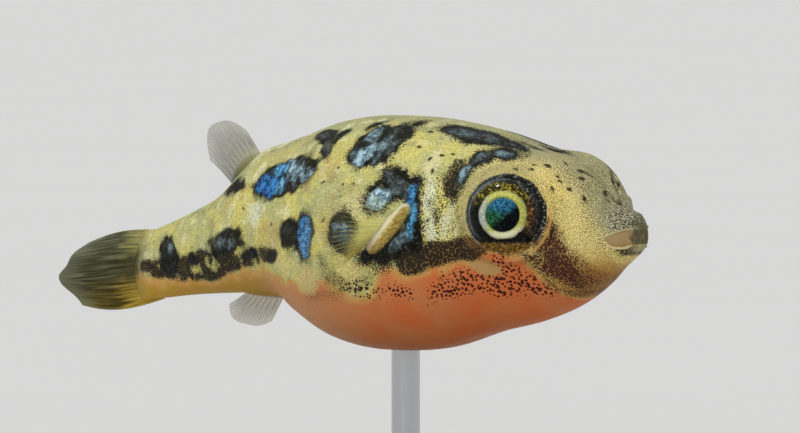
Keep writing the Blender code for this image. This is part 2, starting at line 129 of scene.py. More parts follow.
# Light hearts of the blotches: behind, girth, half the length and width, slope, brightness and how blue.
HEARTS = (
    (10.62, 2.22, 0.46, 0.28, 78, 0.95, 0.34), (10.74, 3.38, 0.44, 0.27, 70, 1, 0.46),
    (10.38, 3.02, 0.34, 0.22, 80, 1, 0.44), (9.92, 2.62, 0.5, 0.24, 66, 0.85, 0.26),
    (9.5, 2.75, 0.34, 0.16, 80, 0.5, 0.2), (10.02, 3.4, 0.24, 0.16, 70, 0.6, 0.35),
    (11.12, 3.18, 0.22, 0.16, 60, 0.45, 0.35), (9.78, 1.85, 0.28, 0.14, 75, 0.35, 0.1),
    (15.95, 2.62, 0.5, 0.34, -22, 1, 1), (15.35, 3.05, 0.52, 0.42, -35, 1, 1),
    (15.05, 2.45, 0.5, 0.3, -40, 0.95, 0.88), (14.75, 3.3, 0.42, 0.28, -50, 0.9, 0.8),
    (14.45, 2.62, 0.55, 0.17, 107, 0.9, 0.62), (14.02, 3.1, 0.58, 0.16, 107, 0.85, 0.52),
    (13.6, 3.38, 0.48, 0.13, 110, 0.8, 0.5), (13.08, 3.7, 0.4, 0.17, 112, 0.9, 0.5),
    (13.4, 1.62, 0.4, 0.16, -35, 0.3, 0.1), (12.74, 2.55, 0.42, 0.18, -60, 0.45, 0.1),
    (18.6, 1.05, 0.35, 0.12, -40, 0.25, 0.05), (6.95, 1.4, 0.66, 0.32, 5, 0.46, 0.18),
    (5.95, 1.18, 0.52, 0.26, -15, 0.36, 0.14), (5, 1.08, 0.42, 0.14, -15, 0.3, 0.12),
    (4.86, 1.99, 0.44, 0.19, 22, 0.55, 0.36), (5.46, 2.46, 0.38, 0.18, 54, 0.48, 0.22),
    (5.9, 3.42, 0.46, 0.16, 70, 0.8, 0.35), (9.42, 5.02, 0.58, 0.33, 30, 1, 0.56),
    (8.6, 4.42, 0.4, 0.3, 0, 0.45, 0.12), (9.05, 4.15, 0.26, 0.2, -30, 0.35, 0.15),
    (7.98, 4.72, 0.4, 0.26, 80, 1, 0.92), (7.8, 5.45, 0.46, 0.2, 92, 1, 0.86),
    (7.9, 6.02, 0.34, 0.18, 75, 0.85, 0.82), (8.32, 6.5, 0.5, 0.18, 50, 0.32, 0.62),
    (10.88, 6.24, 0.36, 0.17, -4, 0.78, 0.66), (10.9, 6.45, 0.4, 0.36, 0, 0.17, 0.42),
    (12.9, 6.16, 0.88, 0.33, 95, 1, 0.94), (13.85, 5.55, 0.35, 0.16, -42, 0.1, 0.2),
    (18.5, 3.28, 0.42, 0.17, -42, 0.55, 0.2), (17.85, 3.92, 0.4, 0.16, -45, 0.45, 0.25),
    (21.92, 1.5, 0.36, 0.18, -52, 0.42, 0.4),
)

# Dark bands of crowded dots: points (behind, girth, half the width), how dense, and how brown.
BANDS = (
    (((8.1, 7.35, 0.4), (7.5, 7.08, 0.5), (6.9, 6.75, 0.48), (6.3, 6.58, 0.42), (5.6, 6.38, 0.4),
      (4.95, 6.12, 0.3)), 1, 0.2),
    (((7.7, 6.1, 0.3), (7.62, 6.75, 0.34)), 0.85, 0.1),
    (((3.2, 5.95, 0.26), (2.85, 6.12, 0.42), (2.45, 5.85, 0.58), (2.18, 5.25, 0.62),
      (2.2, 4.6, 0.5), (2.35, 4.05, 0.26)), 0.84, 0.95),
    (((2, 5.9, 0.4), (1.65, 5.2, 0.4), (1.55, 4.4, 0.4)), 0.58, 0.85),
    (((2.85, 6.7, 0.26), (2.35, 6.95, 0.42), (1.9, 6.6, 0.5)), 0.5, 0.9),
    (((6.25, 3.1, 0.26), (6.42, 3.7, 0.34), (6.3, 4.3, 0.28)), 0.66, 0.1),
    (((7, 4.9, 0.24), (6.8, 5.3, 0.24)), 0.42, 0.1),
    (((23.9, 1.66, 0.2), (23.2, 1.86, 0.28), (21.8, 2.42, 0.38), (20.1, 3.06, 0.56),
      (18.9, 3.86, 0.44), (17.5, 4.78, 0.36), (16.4, 5.3, 0.36), (15, 5.85, 0.2)), 1, 0.15),
    (((9.2, 7.35, 0.26), (10, 7.55, 0.18)), 0.7, 0.55),
    (((12, 7.2, 0.2), (11.6, 8, 0.36), (10.6, 8.45, 0.26), (9.7, 8.2, 0.22)), 0.4, 0.45),
    (((12.9, 8.6, 0.16), (12, 8.65, 0.24), (11, 8.65, 0.22)), 0.44, 0.6),
    (((12.6, 7.2, 0.2), (12.9, 6.95, 0.22), (13.9, 6.35, 0.18)), 0.3, 0.2),
)

# Coarse red-brown dots on the throat and belly: behind, girth, half the length and width, slope.
RED_DOTS = (
    (5.4, 7.62, 0.95, 0.5, -6), (4.45, 7.55, 0.75, 0.66, 20), (4.15, 6.7, 0.48, 0.34, 90),
    (3.3, 7.25, 0.5, 0.42, 0), (6.55, 8.12, 0.75, 0.24, 38), (8.55, 8.45, 0.6, 0.26, 0),
    (10.3, 8.5, 0.9, 0.26, -12),
)

# Smooth pale patches: behind, girth, half the length and width, slope, and tone: -1 is tan, 0 yellow,
# 1 cream.
PALE_PATCHES = (
    (12.8, 7.9, 0.66, 0.52, -20, -0.4), (10.55, 7.8, 0.75, 0.48, 0, 0),
    (4.98, 6.96, 0.7, 0.4, 4, -0.9), (7.45, 3.3, 0.34, 0.8, -12, 0.4),
    (7.15, 4.75, 0.3, 0.95, 2, 1), (7.05, 5.95, 0.26, 0.6, 12, 1), (6.38, 5.3, 0.22, 0.9, -10, 0.8),
    (5.85, 5.75, 0.16, 0.45, -24, 0.5), (10.35, 5.35, 0.75, 0.45, -30, 0.3),
    (14.2, 6.7, 0.75, 0.35, -45, 0), (16.3, 3.6, 0.5, 0.36, -30, 1),
    (21, 2.4, 0.26, 0.12, -20, 0.1),
)

# Dark freckles: behind, girth, half the length, slope. They are this wide for their length.
FRECKLE_WIDTH = 0.55
FRECKLES = (
    (1.98, 2.12, 0.11, 60), (1.5, 1.75, 0.12, 60), (1.78, 1.32, 0.11, 50), (1.95, 1.12, 0.12, 60),
    (2.33, 2.2, 0.09, 30), (2.46, 2.12, 0.08, 20), (2.45, 2.72, 0.11, 100), (2.47, 1.36, 0.1, 0),
    (2.93, 1.93, 0.15, 0), (3.4, 2.12, 0.1, 0), (3.38, 2.4, 0.12, 10), (3.92, 2.63, 0.13, -10),
    (4.65, 1.7, 0.12, 0), (5.5, 1.2, 0.14, 0), (6.1, 1.32, 0.16, 0), (7.35, 1.28, 0.12, 90),
    (6.72, 2.72, 0.11, 20), (7.15, 2.9, 0.13, 0), (7.6, 3.13, 0.13, 60), (6.5, 3.02, 0.11, 90),
    (6.3, 3.5, 0.12, 0), (7.3, 3.62, 0.13, 100), (8.3, 1.74, 0.14, 0), (8.32, 2.67, 0.13, 0),
    (7.65, 2.05, 0.09, 0), (10.7, 4.48, 0.12, -30), (11.15, 5, 0.1, 0), (11.88, 5.82, 0.13, 20),
    (9.5, 4.4, 0.2, 10), (12.25, 4.25, 0.12, 0), (1.22, 0.58, 0.1, 60), (1.05, 0.6, 0.09, 60),
)

# Where the yellow flank gives way to the salmon belly: (behind, girth).
BELLY_EDGE = (
    (0, 9), (1.9, 8.3), (2.4, 7.25), (3, 6.85), (3.6, 5.95), (4.3, 5.95), (5.1, 6.6), (6.5, 7.1),
    (8.3, 7.75), (9.1, 7.95), (9.8, 8.75), (10.5, 9.05), (11.2, 8.7), (12, 8.3), (13, 8.1),
    (14.5, 7.3), (16, 6.25), (18, 5.2), (20, 3.86), (22, 2.9), (24.5, 2),
)

# On the left side the same marks lie a little elsewhere, by up to this far, and differ in size by up
# to this share.
LEFT_SHIFT, LEFT_RESIZE = 0.38, 0.16


def curve(table, column, x):
    """A smooth curve through one column of a table, with slopes that never overshoot its points."""
    xs = np.array([row[0] for row in table])
    ys = np.array([row[column] for row in table])
    gaps = np.diff(xs)
    slopes = np.diff(ys) / gaps
    before, after = slopes[:-1], slopes[1:]
    limit = 3 * np.minimum(abs(before), abs(after))
    inner = np.sign(before) * np.minimum(abs(before + after) / 2, limit)
    tangents = np.concatenate([slopes[:1], np.where(before * after > 0, inner, 0), slopes[-1:]])
    i = np.clip(np.searchsorted(xs, x) - 1, 0, len(gaps) - 1)
    t = (x - xs[i]) / gaps[i]
    rise, start, end = ys[i + 1] - ys[i], tangents[i] * gaps[i], tangents[i + 1] * gaps[i]
    return ys[i] + t * (start + t * (3 * rise - 2 * start - end + t * (start + end - 2 * rise)))


def lerp(start, stop, share):
    return start + (stop - start) * share


def fade(x, low, high):
    """0 below low, 1 above high, smooth between. With the higher end first it falls from 1 to 0."""
    t = np.clip((x - low) / (high - low), 0, 1)
    return t * t * (3 - 2 * t)


def between(x, *ends):
    """1 in the middle, and smooth from the outer two ends to the inner two."""
    return fade(x, *ends[:2]) * fade(x, *ends[:1:-1])


def ridge(x, middle, half_width):
    """1 at the middle, falling away to nothing over a few half widths."""
    return np.exp(-(((x - middle) / half_width) ** 2))


def ball_height(off):
    """How high the eyeball's surface stands this far from the eye's axis."""
    return EYE_HALF_DEPTH * np.sqrt(np.clip(1 - (off / EYE_RADIUS) ** 2, 0, 1))


def unit(vector):
    vector = np.asarray(vector, float)
    return vector / np.linalg.norm(vector, axis=-1, keepdims=True)


def section(behind):
    """The columns of the section this far behind the lips."""
    behind = np.clip(behind, 0, TAIL_ROOT)
    return {name: curve(SECTIONS, i, behind) for i, name in enumerate(COLUMNS) if i}


def half_section(cut, upper):
    """How far a section reaches up or down from its level, and how square it is there."""
    reach = np.where(upper, cut["top"], cut["bottom"]) - cut["level"]
    return reach, np.where(upper, cut["top_square"], cut["bottom_square"])


def eye_frame(side):
    """The middle of an eye, the way it looks, and its own forward and up directions."""
    forward, up = math.radians(EYE_FORWARD_DEGREES), math.radians(EYE_UP_DEGREES)
    middle = np.array([EYE[0], side * EYE[1], EYE[2]])
    outward = np.array([-math.sin(forward), side * math.cos(forward), 0])
    axis = outward * math.cos(up) + np.array([0, 0, math.sin(up)])
    upward = unit(np.array([0, 0, 1]) - axis * axis[2])
    ahead = unit(np.array([-1, 0, 0]) + axis * axis[0])
    ahead = unit(ahead - upward * (ahead @ upward))
    return middle, axis, ahead, upward


def flesh(behind, turn):
    """Points of the flesh. A turn of 0 is the left flank, a quarter the back, a half the right flank."""
    behind, turn = np.broadcast_arrays(np.asarray(behind, float), np.asarray(turn, float))
    cut = section(behind)
    across, upward = np.cos(2 * np.pi * turn), np.sin(2 * np.pi * turn)
    reach, square = half_section(cut, upward >= 0)
    left = cut["half_width"] * np.sign(across) * np.abs(across) ** (2 / square)
    height = cut["level"] + reach * np.abs(upward) ** (2 / square)
    length = between(behind, CHANNEL_FROM, CHANNEL_FROM + 0.8, CHANNEL_TO - 2.5, CHANNEL_TO)
    channel = CHANNEL_DEPTH * length * fade(np.abs(left), CHANNEL_HALF_WIDTH, 0)
    points = np.stack([behind, left, height - np.where(upward > 0, channel, 0)], -1)
    for side in (1, -1):
        own = (left * side >= 0)[..., None]
        away = np.linalg.norm(points - np.array([NOSTRIL[0], side * NOSTRIL[1], NOSTRIL[2]]), axis=-1)
        lift = NOSTRIL_HEIGHT * fade(away, NOSTRIL_RADIUS, 0)[..., None]
        points = points + own * lift * NOSTRIL_LEAN * [1, side, 1]
        middle, axis, _, _ = eye_frame(side)
        along = (points - middle) @ axis
        off = np.linalg.norm(points - middle - along[..., None] * axis, axis=-1)
        lift = RIM_HEIGHT * fade(off, RIM_RADIUS, 0.7 * EYE_RADIUS) * (along > EYE_BACK)
        points = points + own * lift[..., None] * axis
    return points


SWEEP_STEPS = np.linspace(0, TAIL_ROOT - SWEEP_START + 8, 2001)
SWEEP_HEADINGS = math.radians(SWEEP_DEGREES) * fade(SWEEP_STEPS, 0, TAIL_ROOT - SWEEP_START)


def run_up(values):
    """The running total of a rate along the sweep."""
    steps = np.diff(SWEEP_STEPS) * (values[1:] + values[:-1]) / 2
    return np.concatenate([[0], np.cumsum(steps)])


SWEEP_X, SWEEP_Y = run_up(np.cos(SWEEP_HEADINGS)), run_up(np.sin(SWEEP_HEADINGS))
BELLY_LOW = section(np.linspace(8, 14, 61))["bottom"].min()


def backbone(behind):
    """(x, y, heading) of the backbone, seen from above."""
    past = np.maximum(0, behind - SWEEP_START)
    x = ROD_BEHIND - np.minimum(behind, SWEEP_START) - np.interp(past, SWEEP_STEPS, SWEEP_X)
    return x, np.interp(past, SWEEP_STEPS, SWEEP_Y), np.interp(past, SWEEP_STEPS, SWEEP_HEADINGS)


def place(points):
    """Points of the fish as it is posed on its stand, in millimetres of the shared frame."""
    x, y, heading = backbone(points[..., 0])
    left = points[..., 1]
    height = points[..., 2] + BELLY_HEIGHT - BELLY_LOW
    return np.stack([x + left * np.sin(heading), y + left * np.cos(heading), height], -1)


# --- meshes ---


def grid_faces(rows, columns, wrap):
    """Quads of a grid of points, row by row. With wrap each row is a closed ring."""
    row, column = np.meshgrid(np.arange(rows - 1), np.arange(columns - (0 if wrap else 1)), indexing="ij")
    after = (column + 1) % columns
    first = row * columns
    return np.stack([
        first + column, first + after, first + columns + after, first + columns + column,
    ], -1).reshape(-1, 4)


def tube_faces(rows, around):
    """The same for closed rings, with a cap on each end."""
    caps = [list(range(around)), [(rows - 1) * around + i for i in range(around)]]
    return grid_faces(rows, around, True).tolist() + caps


def add_object(name, data):
    obj = bpy.data.objects.new(name, data)
    bpy.context.scene.collection.objects.link(obj)
    return obj


def make_object(name, points, faces, fields, material):
    """A smooth mesh object from placed points in millimetres, with a float on each point per field."""
    mesh = bpy.data.meshes.new(name)
    mesh.from_pydata((points * MM).tolist(), [], faces)
    shell = bmesh.new()
    shell.from_mesh(mesh)
    bmesh.ops.recalc_face_normals(shell, faces=shell.faces[:])
    shell.to_mesh(mesh)
    shell.free()
    for field, values in fields.items():
        layer = mesh.attributes.new(field, "FLOAT", "POINT")
        layer.data.foreach_set("value", np.asarray(values, np.float32).ravel())
    mesh.polygons.foreach_set("use_smooth", np.ones(len(mesh.polygons), bool))
    mesh.materials.append(material)
    obj = add_object(name, mesh)
    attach(obj, "root")
    return obj


def grid_normals(points, wrap):
    """Unit normals of a grid of points, pointing out of a body whose rings run from back to right."""
    if wrap:
        across = np.roll(points, -1, axis=1) - np.roll(points, 1, axis=1)
    else:
        across = np.gradient(points, axis=1)
    along = np.gradient(points, axis=0)
    return unit(np.cross(across, along) + 1e-12)


# --- the skin's shape ---


def skin_rows():
    """How far back each ring of the skin lies."""
    rings = [np.arange(start, stop, spacing) for start, stop, spacing in RING_RUNS]
    return np.concatenate(rings + [[TAIL_ROOT]])


def shape_lids(points, side):
    """Draws the skin round an eye into lids: a rim tight on the eyeball, and soft folds round it."""
    middle, axis, ahead, upward = eye_frame(side)
    from_eye = points - middle
    along = from_eye @ axis
    forward, up = from_eye @ ahead, from_eye @ upward
    off = np.hypot(forward, up)
    edge = EYE_HALF_DEPTH * math.sqrt(1 - (LID_RADIUS / EYE_RADIUS) ** 2)
    low_front = fade((forward - up) / np.maximum(off, 0.1), -0.4, 0.9)  # where the folds are deepest
    height = along + (edge + 0.01 - along) * fade(off, LID_RADIUS + 0.6, LID_RADIUS + 0.03)
    # the lid's rim and the crease round it, then a soft fold with a hollow outside it, and fine wrinkles
    height += 0.035 * ridge(off, 1.5, 0.07) - 0.045 * ridge(off, 1.64, 0.05)
    height += (0.11 * ridge(off, 1.79, 0.08) - 0.09 * ridge(off, 1.94, 0.07)) * (0.15 + 0.85 * low_front)
    wrinkles = 0.01 * np.sin(2 * math.pi * off / 0.12) * between(off, 1.45, 1.6, 2.1, 2.5)
    height += wrinkles * (0.3 + 0.7 * low_front)
    # inside the opening the skin dives under the eyeball
    under = np.minimum(height, ball_height(off) - 0.36)
    height = under + (height - under) * fade(off, LID_RADIUS - 0.07, LID_RADIUS)
    facing = (along > EYE_BACK) & (points[..., 1] * side > 0)
    points = points + (facing * (off < RIM_RADIUS) * (height - along))[..., None] * axis
    return points, np.where(facing, off, FAR), forward / np.maximum(off, 0.01), up / np.maximum(off, 0.01)


def lobe_place(points, side):
    """Where points lie against the base of a pectoral fin: signed distance in, share along, and how far
    towards its upper edge."""
    top, foot = np.array(PECTORAL_TOP), np.array(PECTORAL_FOOT)
    line = foot - top
    flat = np.stack([points[..., 0], points[..., 2]], -1)
    share = ((flat - top) @ line) / (line @ line)
    nearest = top + np.clip(share, 0, 0.9)[..., None] * line
    across = np.array([-line[1], line[0]]) / np.linalg.norm(line)
    back = (flat - nearest) @ across
    beyond = (flat - nearest) @ (line / np.linalg.norm(line))
    width = LOBE_HALF_WIDTH * (0.66 + 0.34 * fade(share, 0, 0.4)) * (1 - 0.35 * fade(share, 0.6, 1.0))
    inside = width - np.hypot(back, beyond)
    return np.where(points[..., 1] * side > 1, inside, -FAR), share, back / width


def inner_lip(behind, height):
    """Signed distance into the smooth inner lip, and how far the middle of the mouth's slit is."""
    upper, lower = (curve(INNER_LIP, column, np.clip(behind, -0.3, MOUTH_CORNER)) for column in (1, 2))
    inside = np.minimum(upper - height, height - lower)
    return np.where(behind < MOUTH_CORNER, inside, -FAR), height - lower


def crease(behind, left):
    """Distance from the crease under the forehead."""
    points = [(b, g, 0.0) for b, g in FOREHEAD_CREASE]
    return -band(behind, np.abs(left), points)


def detail_heights(points):
    """How far the skin stands out of the flesh, or sinks into it, at each point."""
    behind, left, height = points[..., 0], np.abs(points[..., 1]), points[..., 2]
    out = np.zeros(behind.shape)
    # the mouth: a smooth swollen inner lip over a slit, and a fold round both
    inside, above_slit = inner_lip(behind, height)
    shut = fade(MOUTH_CORNER - behind, 0, 0.3) * fade(behind, -FRONT_BULGE, 0.12)
    out += shut * (0.03 * fade(inside, 0.02, 0.1) - 0.05 * fade(inside, -0.03, 0.03))
    out += shut * 0.05 * ridge(inside, -0.07, 0.05)
    out -= shut * 0.03 * ridge(above_slit, -0.1, 0.05) * (inside < 0)
    # the blunt tip of the upper lip, with the notch behind it
    top = fade(left, 0.6, 0.25) * fade(height, 0.3, 0.8)
    out += (0.07 * ridge(behind, 0.17, 0.09) - 0.05 * ridge(behind, 0.42, 0.12)) * top
    lift = fade(height, 0.4, 0.9) * fade(behind, 2.0, 1.3)
    away = crease(behind, left)
    out -= lift * 0.2 * ridge(away, 0, 0.06)
    out += lift * 0.09 * ridge(away, 0.16, 0.08) * fade(behind - 0.5 * left, 0.8, 0.9)
    # the nostril's two pits
    for step in (-0.1, 0.12):
        pit = np.array([NOSTRIL[0] + step, NOSTRIL[1] + 0.05, NOSTRIL[2] + 0.1 + step * 0.4])
        away = np.linalg.norm(np.stack([behind, left, height], -1) - pit, axis=-1)
        out -= 0.1 * ridge(away, 0, 0.07)
    # the fleshy bases of the pectoral fins, steep in front, with the gill slit in front of them
    for side in (1, -1):
        inside, share, back = lobe_place(points, side)
        skewed = np.where(back > -0.35, (back + 0.35) / 1.35, (back + 0.35) / 0.65)
        swell = np.sqrt(np.clip(1 - skewed**2, 0, 1)) * fade(inside, 0, 0.1)
        out += LOBE_HEIGHT * swell * (1 - 0.55 * fade(share, 0.35, 1.0)) * (inside > 0)
        beside = between(share, -0.15, 0.1, 0.85, 1.1)
        out -= 0.16 * beside * ridge(inside, -0.07, 0.07) * (back < 0)
    # low roots under the dorsal and anal fins
    top = fade(height, 0.0, 1.0)
    for root, size, ends in ((top, 0.1, (17, 17.5, 18.8, 19.3)), (1 - top, 0.08, (15.9, 16.3, 18, 18.4))):
        out += size * ridge(left, 0, 0.22) * between(behind, *ends) * root
    # the vent, in front of the anal fin
    out -= 0.1 * ridge(np.hypot(left, behind - 15.6), 0, 0.16) * (height < 0)
    return out


def make_ring_points(behind, turn):
    """The skin's base points: the flesh's rings, a blunt front and a rear that thins on to the fin."""
    body = flesh(behind[:, None], turn[None, :])
    centre = np.array([0.0, 0.0, MOUTH_LEVEL])
    angle = np.linspace(0, math.pi / 2, FRONT_RINGS + 1)[1:, None, None]
    share = np.maximum(np.cos(angle) ** (2 / FRONT_SQUARE), 0.02)
    front = centre + share * (body[0] - centre)
    front[..., 0] = (-FRONT_BULGE * np.sin(angle) ** (2 / FRONT_SQUARE))[..., 0]
    reach = np.linspace(0, 1, REAR_RINGS + 1)[1:, None]
    rear = np.repeat(body[-1:], REAR_RINGS, axis=0)
    low, high = rear[..., 2].min(), rear[..., 2].max()
    level = (2 * rear[..., 2] - low - high) / (high - low)
    rounded = reach * (1 - REAR_ROUNDING * level**2)
    rear[..., 0] += REAR_LENGTH * rounded
    rear[..., 1] *= 1 - REAR_THINNING[0] * reach - REAR_THINNING[1] * reach**2
    rear[..., 2] = (low + high) / 2 - REAR_DROP * rounded
    rear[..., 2] += level * (high - low) / 2 * (1 + REAR_GROWTH * rounded)
    return np.concatenate([front[::-1], body, rear])


def ring_girth(points, back_column):
    """Signed distance round each ring from the middle of the back: positive on the left."""
    half = points.shape[1] // 2
    steps = np.linalg.norm(np.roll(points, -1, axis=1) - points, axis=-1)
    steps = np.roll(steps, -back_column, axis=1)
    right, left = np.cumsum(steps[:, :half], axis=1), np.cumsum(steps[:, :half:-1], axis=1)
    girth = np.concatenate([0 * right[:, :1], -right, left[:, ::-1]], axis=1)
    return np.roll(girth, back_column, axis=1)


# --- where the markings lie ---


def on_side(table, side):
    """The marks of a table for one side. The left side's are shifted and resized a little."""
    for mark in table:
        behind, girth, half_length, half_width, *rest = mark
        if side > 0:
            resize = 1 + LEFT_RESIZE * math.sin(1.1 * behind + 0.7 * girth)
            half_length, half_width = half_length * resize, half_width * resize
            behind += LEFT_SHIFT * math.sin(0.8 * behind + 0.4 * girth + 1.0)
            girth += LEFT_SHIFT * 0.5 * math.cos(0.7 * behind + 0.9 * girth)
        yield behind, girth, half_length, half_width, *rest


def oval(behind, girth, mark):
    """Signed distance, roughly, into an oval mark: positive inside."""
    slope = math.radians(mark[4])
    back, down = behind - mark[0], girth - mark[1]
    u = (back * math.cos(slope) + down * math.sin(slope)) / mark[2]
    v = (down * math.cos(slope) - back * math.sin(slope)) / mark[3]
    return (1 - np.hypot(u, v)) * min(mark[2], mark[3])


def band(behind, girth, points):
    """Signed distance into a band that follows a line of points, each with half its width there."""
    inside = np.full(behind.shape, -FAR * 10)
    for (b0, g0, w0), (b1, g1, w1) in zip(points[:-1], points[1:]):
        length = (b1 - b0) ** 2 + (g1 - g0) ** 2
        share = np.clip(((behind - b0) * (b1 - b0) + (girth - g0) * (g1 - g0)) / length, 0, 1)
        away = np.hypot(behind - b0 - share * (b1 - b0), girth - g0 - share * (g1 - g0))
        inside = np.maximum(inside, lerp(w0, w1, share) - away)
    return inside


def union(behind, girth, marks, reach):
    """Signed distance into the nearest of some marks, with their last columns averaged over this reach."""
    inside = np.full(behind.shape, -FAR)
    weight = np.full(behind.shape, 1e-9)
    marks = list(marks)
    extras = np.zeros((len(marks[0]) - 5, *behind.shape))
    for mark in marks:
        depth = oval(behind, girth, mark)
        share = np.exp(np.clip(depth, -1, 1) / reach)
        inside = np.maximum(inside, depth)
        weight += share
        for extra, value in zip(extras, mark[5:]):
            extra += share * value
    return inside, *(extra / weight for extra in extras)


def marking_fields(behind, girth):
    """Every field that the skin's material reads to lay out its markings."""
    halves = []
    for side in (-1, 1):
        wander = 0.05 * np.sin(2.3 * behind + 1.9 * girth) + 0.03 * np.sin(5.3 * girth - 3.1 * behind)
        own, along = side * girth + wander, behind - wander
        half = {}
        for names, table, reach in (
            (("blotch",), BLOTCHES, 0.07), (("heart", "light", "blue"), HEARTS, 0.04),
            (("pale", "cream"), PALE_PATCHES, 0.07), (("red",), RED_DOTS, 0.07),
        ):
            half.update(zip(names, union(along, own, on_side(table, side), reach)))
        freckles = [(b, g, size, size * FRECKLE_WIDTH, slope) for b, g, size, slope in FRECKLES]
        half["freckle"], = union(behind, side * girth, on_side(freckles, side), 0.07)
        crowd, brown, weight = (np.zeros(behind.shape) for _ in range(3))
        for points, density, brownness in BANDS:
            soft = 0.55 if brownness > 0.5 else 0.2
            inside = fade(band(along, own, points), -soft, soft) * density
            crowd = np.maximum(crowd, inside)
            brown += inside * brownness
            weight += inside
        halves.append({**half, "crowd": crowd, "brown": brown / np.maximum(weight, 0.05)})
    right, left = halves
    fields = {name: np.where(girth > 0, left[name], right[name]) for name in right}
    down = np.abs(girth)
    belly = down - curve(BELLY_EDGE, 1, np.clip(behind, 0, BELLY_EDGE[-1][0]))
    on_flank = fade(belly, 0.2, -0.3)
    nape = between(behind, 5.3, 6.2, 6.9, 8.6) * fade(down, 2.4, 4.6)
    face = fade(behind, 6.6, 5)
    fields.update({
        "belly": belly, "nape": nape * on_flank, "face": face * on_flank, "down": down, "behind": behind,
    })
    return fields


def make_skin(material):
    """One skin over all the flesh, with its folds and pits, and the fields that its markings need."""
    turn = np.arange(AROUND) / AROUND
    behind = skin_rows()
    base = make_ring_points(behind, turn)
    girth = ring_girth(base, AROUND // 4)
    girth[:FRONT_RINGS] = girth[FRONT_RINGS]
    fields = marking_fields(base[..., 0], girth)
    flank = AROUND // 2
    steps = np.linalg.norm(np.diff(base[:, flank], axis=0), axis=-1)
    fields["run"] = np.repeat(np.concatenate([[0], np.cumsum(steps)])[:, None], AROUND, axis=1)
    fields["drop"] = np.abs(girth) - np.abs(girth[:, flank])[:, None]
    points = base + grid_normals(base, True) * detail_heights(base)[..., None]
    orbit, ahead, above = (np.full(girth.shape, value) for value in (FAR, 0.0, 0.0))
    for side in (-1, 1):
        points, off, forward, up = shape_lids(points, side)
        near = off < orbit
        orbit = np.where(near, off, orbit)
        ahead, above = np.where(near, forward, ahead), np.where(near, up, above)
    lip, above_slit = inner_lip(base[..., 0], base[..., 2])
    lobe = np.where(base[..., 1] > 0, lobe_place(base, 1), lobe_place(base, -1))
    fields.update({
        "orbit": orbit, "orbit_ahead": ahead, "orbit_above": above,
        "lip": lip, "above_slit": above_slit, "muzzle": fade(base[..., 0], 1.35, 0.45),
        "lobe": lobe[0], "lobe_share": lobe[1], "lobe_back": lobe[2],
        "crease": crease(base[..., 0], base[..., 1]) + FAR * (base[..., 2] < 0.5),
    })
    faces = tube_faces(len(points), AROUND)
    skin = make_object("skin", place(points).reshape(-1, 3), faces, fields, material)
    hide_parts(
        "head", "trunk", "tail_stalk", "upper_lip", "lower_lip",
        "pectoral_base_left", "pectoral_base_right",
    )


# --- the fins ---

MEMBRANE, RAY = 0.035, 0.06  # thickness of the web and of a ray at its root
FIN_SUNK, CAUDAL_SUNK = 0.3, 0.45  # how far inside the flesh a fin starts
POINTS_PER_RAY, POINTS_OUT = 14, 56
CAUDAL_LENGTH, CAUDAL_TIP, CAUDAL_TIP_DROP, CAUDAL_SWEEP_DEGREES = 5.9, 0.16, 0.7, 4.0
CAUDAL_PEAK, CAUDAL_PEAK_BELOW, CAUDAL_PEAK_ABOVE = -0.08, 0.62, 0.33
CAUDAL_ROUNDING, CAUDAL_LEAN, CAUDAL_SWELL = 0.2, 0.05, 0.17
CAUDAL_TAPER_ABOVE, CAUDAL_TAPER_BELOW, CAUDAL_FOLD, CAUDAL_RIPPLE = 0.03, -0.12, 0.2, 0.07
DORSAL_ENDS, DORSAL_LENGTH, DORSAL_LEANS, DORSAL_ARCH = (17.45, 18.9), 2.6, (55, 45), (0.1, 0.85)
ANAL_ENDS, ANAL_LENGTH, ANAL_LEANS, ANAL_ARCH = (16.3, 18.0), 1.9, (62, 38), (0.18, 0.84)
PECTORAL_LENGTH, PECTORAL_RISES, PECTORAL_FLARE = 2.7, (27.0, -42.0), 0.32
PECTORAL_STAND_OUT, PECTORAL_BACK = 0.36, 0.12  # of its root, off the flank and behind its base
CAUDAL_RAYS, DORSAL_RAYS, ANAL_RAYS, PECTORAL_RAYS = 11, 9, 8, 19


def caudal_surface(along, out):
    """The tail fin's middle: along runs from its lower edge to its upper one, out from inside its root
    to its tip."""
    root = section(TAIL_ROOT)
    low, high = root["bottom"] + 0.02, root["top"] - 0.02
    spread = 2 * along - 1
    reach_of_tip = np.where(spread > CAUDAL_PEAK, CAUDAL_PEAK_ABOVE, CAUDAL_PEAK_BELOW)
    tip = CAUDAL_TIP * np.exp(-(((spread - CAUDAL_PEAK) / reach_of_tip) ** 2))
    length = CAUDAL_LENGTH * (1 - CAUDAL_ROUNDING * spread**2 - CAUDAL_LEAN * spread + tip)
    length = length * (1 + 0.012 * np.sin(9 * along + 0.6))
    swell = CAUDAL_SWELL * np.sin(math.pi * out)
    height = (low + high) / 2 - CAUDAL_TIP_DROP * out
    taper = np.where(spread > 0, CAUDAL_TAPER_ABOVE, CAUDAL_TAPER_BELOW)
    height = height + spread * (high - low) / 2 * (1 + swell + taper * out**3)
    x, y, heading = backbone(np.array(TAIL_ROOT))
    heading = heading + math.radians(CAUDAL_SWEEP_DEGREES) * out
    reach = length * out - CAUDAL_SUNK * (1 - out)
    fold = out * (CAUDAL_FOLD * np.sin(5.2 * along + 0.4) + CAUDAL_RIPPLE * np.sin(14 * along))
    return np.stack([
        x - reach * np.cos(heading) + fold * np.sin(heading),
        y + reach * np.sin(heading) + fold * np.cos(heading),
        height + BELLY_HEIGHT - BELLY_LOW,
    ], -1)


